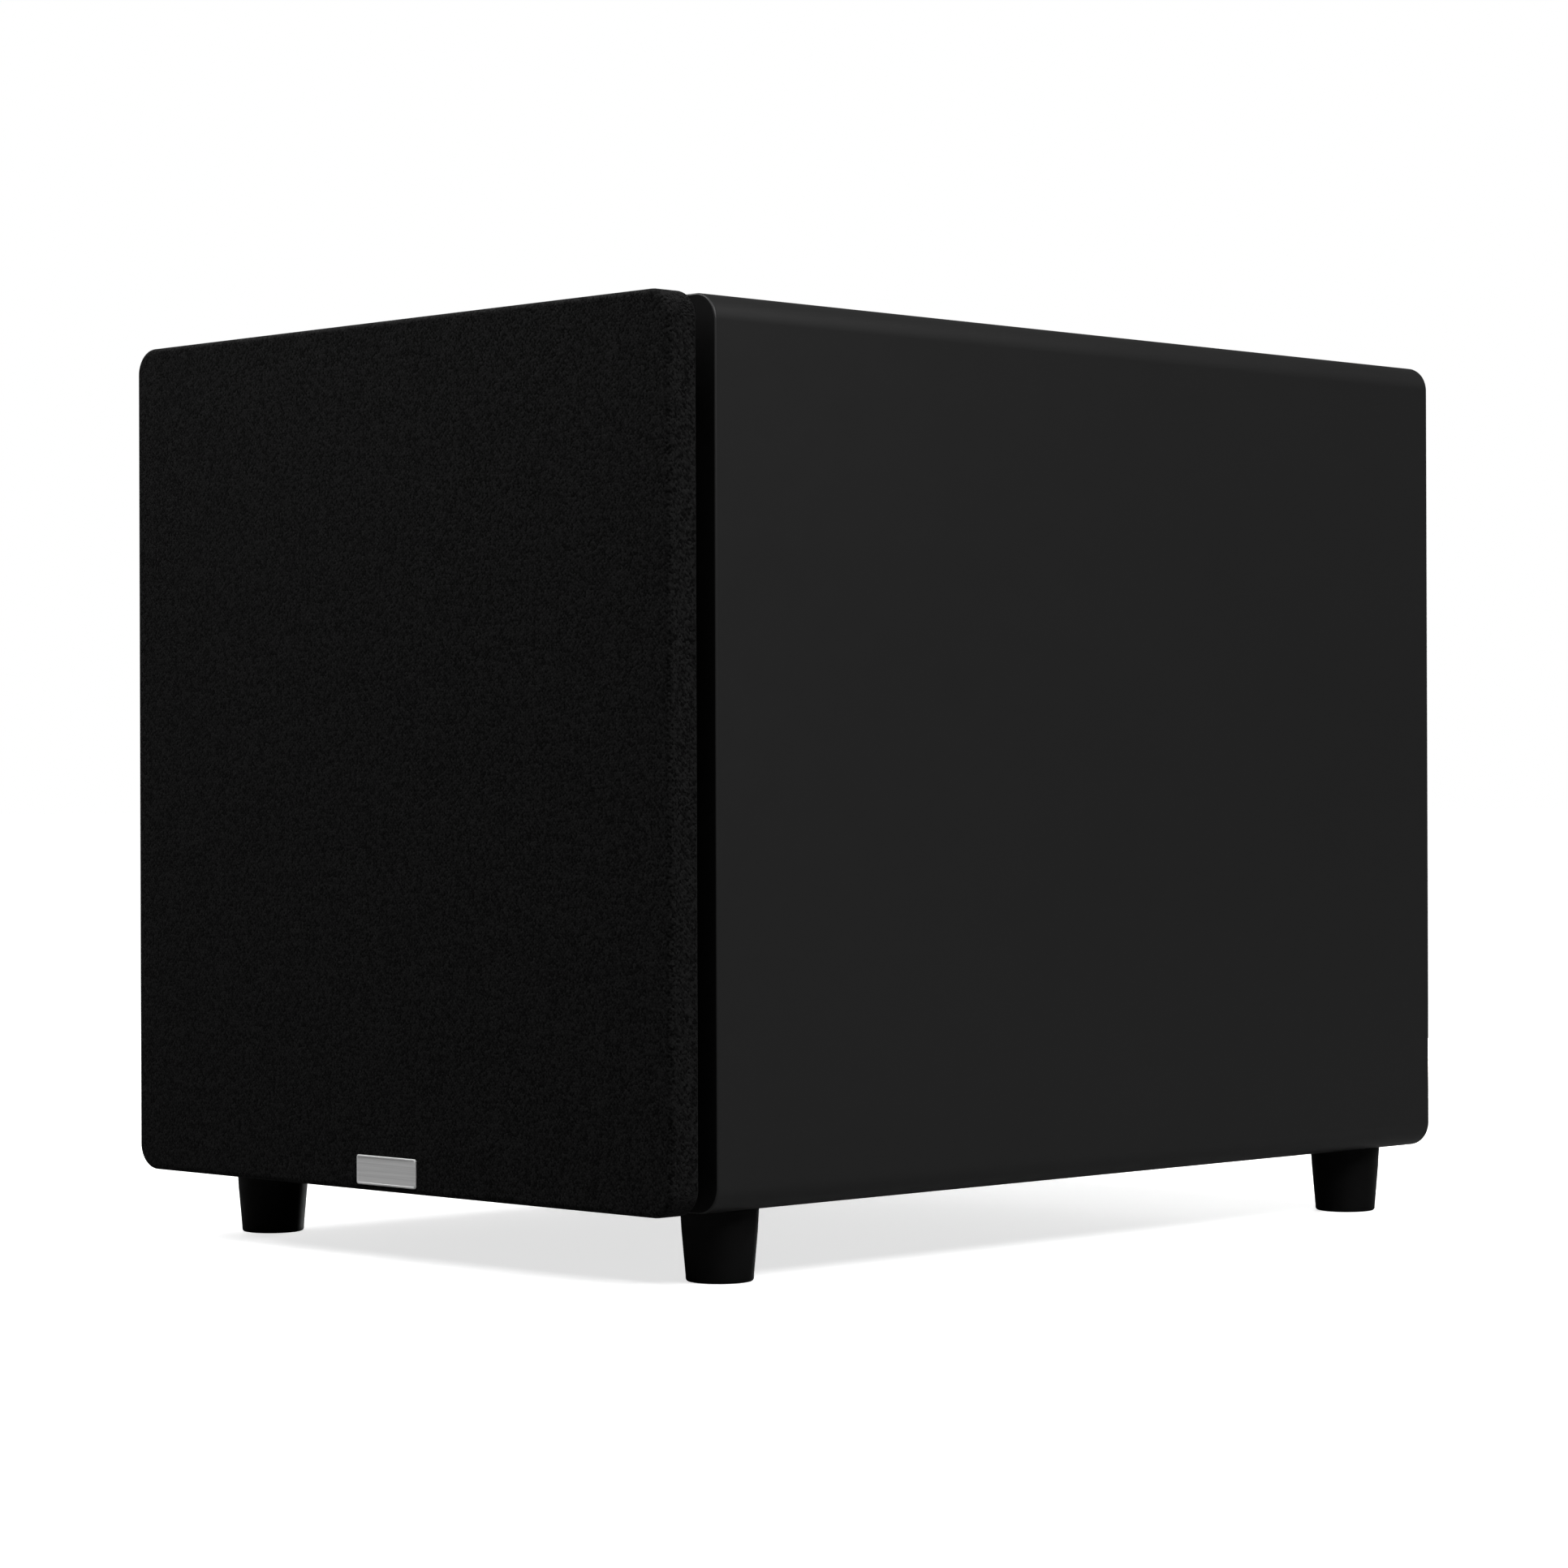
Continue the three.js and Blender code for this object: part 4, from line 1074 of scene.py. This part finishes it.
def knobs():
    """Two fluted knobs, each with a pointer line on its face."""
    grip, skirt = 9.2, PLATE_FACE + 0.6

    def flutes(angle, height):
        return 1 - 0.035 * (height > skirt + 2.4) * (0.5 + 0.5 * cos(20 * angle)) ** 3

    for name in ("volume", "crossover"):
        node = f"{name}_knob"
        low, high = box(node)
        x, z = across(node)
        radius = (high.x - low.x) / 2
        profile = [
            (0, low.y), (3, low.y), (3, skirt), (radius - 0.3, skirt), (radius, skirt + 0.4),
            (radius - 0.1, skirt + 1.6), (radius - 0.8, skirt + 2.1), (grip + 0.5, skirt + 2.3),
            (grip, skirt + 2.9), (grip - 0.4, high.y - 1), (grip - 0.8, high.y - 0.4),
            (grip - 1.4, high.y - 0.1), (grip - 2.2, high.y), (5, high.y - 0.25), (0, high.y - 0.3),
        ]
        dial = turned(profile, (x, z), steps=240, ripple=flutes)
        make(f"{name}_dial", dial, PLASTIC, node, body=node)
        line = block((x - 0.45, high.y - 0.8, z + 3), (x + 0.45, high.y - 0.02, z + 8), 0.1)
        make(f"{name}_pointer", line, INK, body=node)


def sliders():
    """The moving part of each slide switch: a tongue behind the plate and a ridged nub."""
    for name in ("phase", "mode"):
        node = f"{name}_slider"
        low, high = box(node)
        x, z = across(node)
        tongue = block(low, (high.x, PLATE_LOW.y - 0.4, high.z), 0.2)
        nub = brick(3.6, 3.6, PLATE_LOW.y - 1, high.y - 0.5, (x, z), 0.25)
        ridges = [
            brick(0.6, 3.2, high.y - 1, high.y, (x + step, z), 0.12) for step in (-1.2, 0, 1.2)
        ]
        make(f"{name}_nub", joined(tongue, nub, *ridges), PLASTIC, node, body=node)


def status_light():
    """A small domed lens."""
    low, high = box("status_led")
    radius = 2.4
    dome = arc((0, high.y - radius), radius, 0, 90, 8)
    profile = [(0, low.y), (radius, low.y)] + [(max(r, 0), d) for r, d in dome]
    make("led", turned(profile, across("status_led"), steps=40), LENS, "status_led")


def heat_sink():
    """Upright fins on one base, with a bolt near each corner."""
    low, high = box("heat_sink")
    x, z = across("heat_sink")
    count, pitch, base = 17, 11, low.y + 2.5
    half, tip = 0.9, 0.45
    corners = [(-1, 1), (1, 1), (-1, -1), (1, -1)]
    outline = [(low.x, low.y), (high.x, low.y)]
    for i in reversed(range(count)):
        fin = (i - (count - 1) / 2) * pitch
        if i < count - 1:
            outline.append((fin + half, base))
        outline += [(fin + half, high.y - 0.5), (fin + tip, high.y)]
        outline += [(fin - tip, high.y), (fin - half, high.y - 0.5)]
        if i > 0:
            outline.append((fin - half, base))
    fins = loft([[(u, v, d) for u, v in outline] for d in (low.z, high.z)])
    make("fins", fins, ANODISED, "heat_sink")
    bolts = [rod(3.3, low.y + 2, base + 1.4, (x + sx * 82.5, z + sz * 38)) for sx, sz in corners]
    make("fin_bolts", joined(*bolts), BLACK_SCREW)


def jacks():
    """Four line jacks on one plate: gilt barrels in white and red collars."""
    low, high = box("line_jacks")
    x, z = across("line_jacks")
    face = PLATE_FACE + 1.5
    plate = block((low.x, PROUD, low.z), (high.x, face + 0.1, high.z), 0.5)
    body = brick(80, 16, low.y, PLATE_FACE + 1, (x, z))
    make("jack_plate", joined(plate, body), PLASTIC, "line_jacks")
    collar = [
        (4.3, face - 0.5), (6.2, face - 0.5), (6.2, face + 0.9), (5.9, face + 1.2), (4.3, face + 1.2),
    ]
    barrel = [
        (3.4, face - 1), (4.15, face - 1), (4.15, high.y - 0.5), (3.95, high.y - 0.1), (3.7, high.y),
        (3.5, high.y - 0.1), (3.4, high.y - 0.5),
    ]
    insert = [(1.7, face - 1), (3.4, face - 1), (3.4, high.y - 1.2), (1.7, high.y - 1.2)]
    places = [(x + step, z) for step in (-30, -10, 10, 30)]
    for name, profile, spots, steps, finish in [
        ("jack_collars_white", collar, places[::2], 48, WHITE_PLASTIC),
        ("jack_collars_red", collar, places[1::2], 48, RED_PLASTIC),
        ("jack_barrels", barrel, places, 48, GOLD),
        ("jack_inserts", insert, places, 32, PLASTIC),
    ]:
        shape = joined(*(turned(profile, spot, steps=steps) for spot in spots))
        make(name, shape, finish)


def speaker_terminals():
    """A block of four spring clips, with a pocket, a wire hole and a ridged lever for each."""
    low, high = box("terminal_block")
    x, z = across("terminal_block")
    levers = {f"terminal_lever_{i}": middle(f"terminal_lever_{i}").x for i in (1, 2, 3, 4)}
    flange = block((low.x, PROUD, low.z), high, 0.7)
    body = brick(78, 28, low.y, PLATE_FACE + 1, (x, z))
    pockets, wire_holes = [], []
    for column in levers.values():
        pockets.append(brick(15.4, 23.2, REAR - 3, REAR + 12, (column, z - 0.7), 0.3))
        wire_holes.append(rod(1.5, REAR + 2, REAR + 12, (column, z - 14.6), edge=0.02, steps=24))
    whole = carved(fused(flange, body), *pockets, *wire_holes, edge=0.3)
    make("clip_block", whole, PLASTIC, "terminal_block")

    side = [(3, 10), (3.5, 4), (10.4, -9), (12.8, -9), (12.8, -6), (8.6, 10)]
    outline = [(REAR + out, z + up) for out, up in side]
    for i, (node, column) in enumerate(levers.items()):
        low, high = box(node)
        parts = [prism(outline, low.x, high.x, 0.5, "X", 1.0)]
        for up in (-8.1, -6.9):
            ridge = (high.x - low.x - 3, 0.7, REAR + 12.3, REAR + 12.95)
            parts.append(brick(*ridge, (column, z + up), 0.15))
        finish = PLASTIC if i % 2 else RED_PLASTIC
        make(f"lever_{i + 1}", joined(*parts), finish, node, body=node)


def mains_inlet():
    """The socket for the mains cord and its three blades, over the fuse drawer's slot."""
    low, high = box("mains_inlet")
    x, z = across("mains_inlet")
    socket_z = z + 6
    back, clear = PLATE_LOW.y, PLATE_FACE + 6
    flange = block((low.x, PROUD, low.z), (high.x, PLATE_FACE + 2.5, high.z), 0.6)
    body = brick(26, 46, low.y, PLATE_FACE + 1, (x, z))
    mouth = [(-12, -8), (12, -8), (12, 4), (8, 8), (-8, 8), (-12, 4)]
    outline = [(x + side, socket_z + up) for side, up in mouth]
    recess = prism(outline, back - 14, clear, 0.05, fillet=1.2)
    drawer_hole = brick(23, 8.4, back - 18, clear, (x, z - DRAWER_DROP), 0.2)
    whole = carved(fused(flange, body), recess, drawer_hole, edge=0.3)
    make("inlet_body", whole, PLASTIC, "mains_inlet")
    blades = [
        brick(2, 4, back - 14.5, PLATE_FACE - 3, (x + side, socket_z + up))
        for side, up in [(-7, -1.5), (7, -1.5), (0, 2.5)]
    ]
    make("inlet_blades", joined(*blades), NICKEL)


def fuse_holder():
    """The drawer under the inlet: a tray, and a lip with a notch to pull it by."""
    low, high = box("fuse_drawer")
    x, z = across("mains_inlet")
    place = (x, z - DRAWER_DROP)
    tray = brick(22.4, 7.8, low.y, PLATE_FACE + 3, place, 0.3)
    lip = slab(*extent("fuse_drawer"), 1.5, PLATE_FACE + 2.8, high.y, place, 0.4)
    notch = brick(6, 2, high.y - 0.7, high.y + 2, place, 0.2)
    make("fuse_holder", carved(fused(tray, lip), notch), PLASTIC, "fuse_drawer", body="fuse_drawer")


def switch_frame():
    """The bezel that the power rocker sits in."""
    low, high = box("switch_bezel")
    place = across("switch_bezel")
    flange = slab(*extent("switch_bezel"), 2, PROUD, high.y, place, 0.6)
    body = brick(19.2, 28.4, low.y, PLATE_FACE + 1, place, 0.3)
    well = brick(15.6, 25, REAR - 9, high.y + 4, place, 0.3)
    bezel = carved(fused(flange, body), well, edge=0.3)
    make("switch_frame", bezel, PLASTIC, "switch_bezel")


def power_rocker():
    """The rocker, tilted about its pivot, with the usual ring and bar printed on it."""
    x, z = across("switch_bezel")
    half, rise = 11, 1.8
    tilt = Matrix.Translation((x, REAR + 1, z)) @ Matrix.Rotation(radians(10), 4, "X")
    face = [(4.2 + rise * abs(z / half) ** 1.5, z) for z in np.linspace(-half, half, 15)]
    paddle = prism([(-6, -6), (3, -half), *face, (3, half), (-6, 6)], -7.5, 7.5, 0.4, "X")
    make("rocker", copies(paddle, [tilt]), PLASTIC, "power_rocker", body="power_rocker")
    low, high = 4.6, 5.05
    ring = turned([(1.3, low), (1.8, low), (1.8, high), (1.3, high)], (0, 0), steps=32)
    bar = brick(0.6, 3.6, low, high, (0, 0), 0.05)
    slope = atan2(rise, half)
    upper = Matrix.Translation((0, 0.08, 6)) @ Matrix.Rotation(-slope, 4, "X")
    lower = Matrix.Translation((0, 0.08, -6)) @ Matrix.Rotation(slope, 4, "X")
    marks = joined(copies(ring, [tilt @ upper]), copies(bar, [tilt @ lower]))
    make("rocker_marks", marks, INK, body="power_rocker")


def clamp_bolt():
    """The bolt that holds the transformer: a washer and nut inside, a domed head outside."""
    low, high = box("transformer_bolt")
    place = across("transformer_bolt")
    washer = [(0, 0), (5, 0), (5, 5), (31.5, 5), (32, 5.5), (32, 7), (3, 7)]
    shank = [(3, PROUD), (6, PROUD)]
    head = [(6, high.y - 2), (5.4, high.y - 0.8), (4, high.y - 0.1), (0, high.y)]
    profile = [(r, low.y + d) for r, d in washer] + shank + head
    shape = turned(profile, place, steps=64)
    key = prism(around(place, 2, range(0, 360, 60)), high.y - 2.2, high.y + 2, 0.05)
    make("clamp_bolt", carved(shape, key), ZINC, "transformer_bolt")


# ---------------------------------------------------------------- CAD nodes that stay as they are


def carried_over():
    """These keep their CAD shape and take a finish."""
    finishes = {
        "window_brace": RAW_BOARD, "driver_terminals": GOLD, "top_plate": ZINC, "ring_magnet": FERRITE,
        "pole_yoke": ZINC, "voice_coil": COIL, "control_board": CIRCUIT, "amp_board": CIRCUIT,
        "volume_pot": ZINC, "crossover_pot": ZINC, "reservoir_capacitor_left": SLEEVE,
        "reservoir_capacitor_right": SLEEVE, "transformer": TOROID, "driver_lead": SOFT_RUBBER,
    }
    for node, finish in finishes.items():
        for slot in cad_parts[node].material_slots:
            slot.link = "OBJECT"
            slot.material = finish


camera()
surroundings()
lamps()
endless_floor()
cabinet()
back_panel()
baffle()
feet()
port()
wadding()
basket()
basket_trim()
woofer_cone()
surround()
spider()
grille_board()
pegs_and_sockets()
fabric()
badge()
amp_plate()
panel_screws()
foam_seal()
printed_marks()
knobs()
sliders()
status_light()
heat_sink()
jacks()
speaker_terminals()
mains_inlet()
fuse_holder()
switch_frame()
power_rocker()
clamp_bolt()
carried_over()
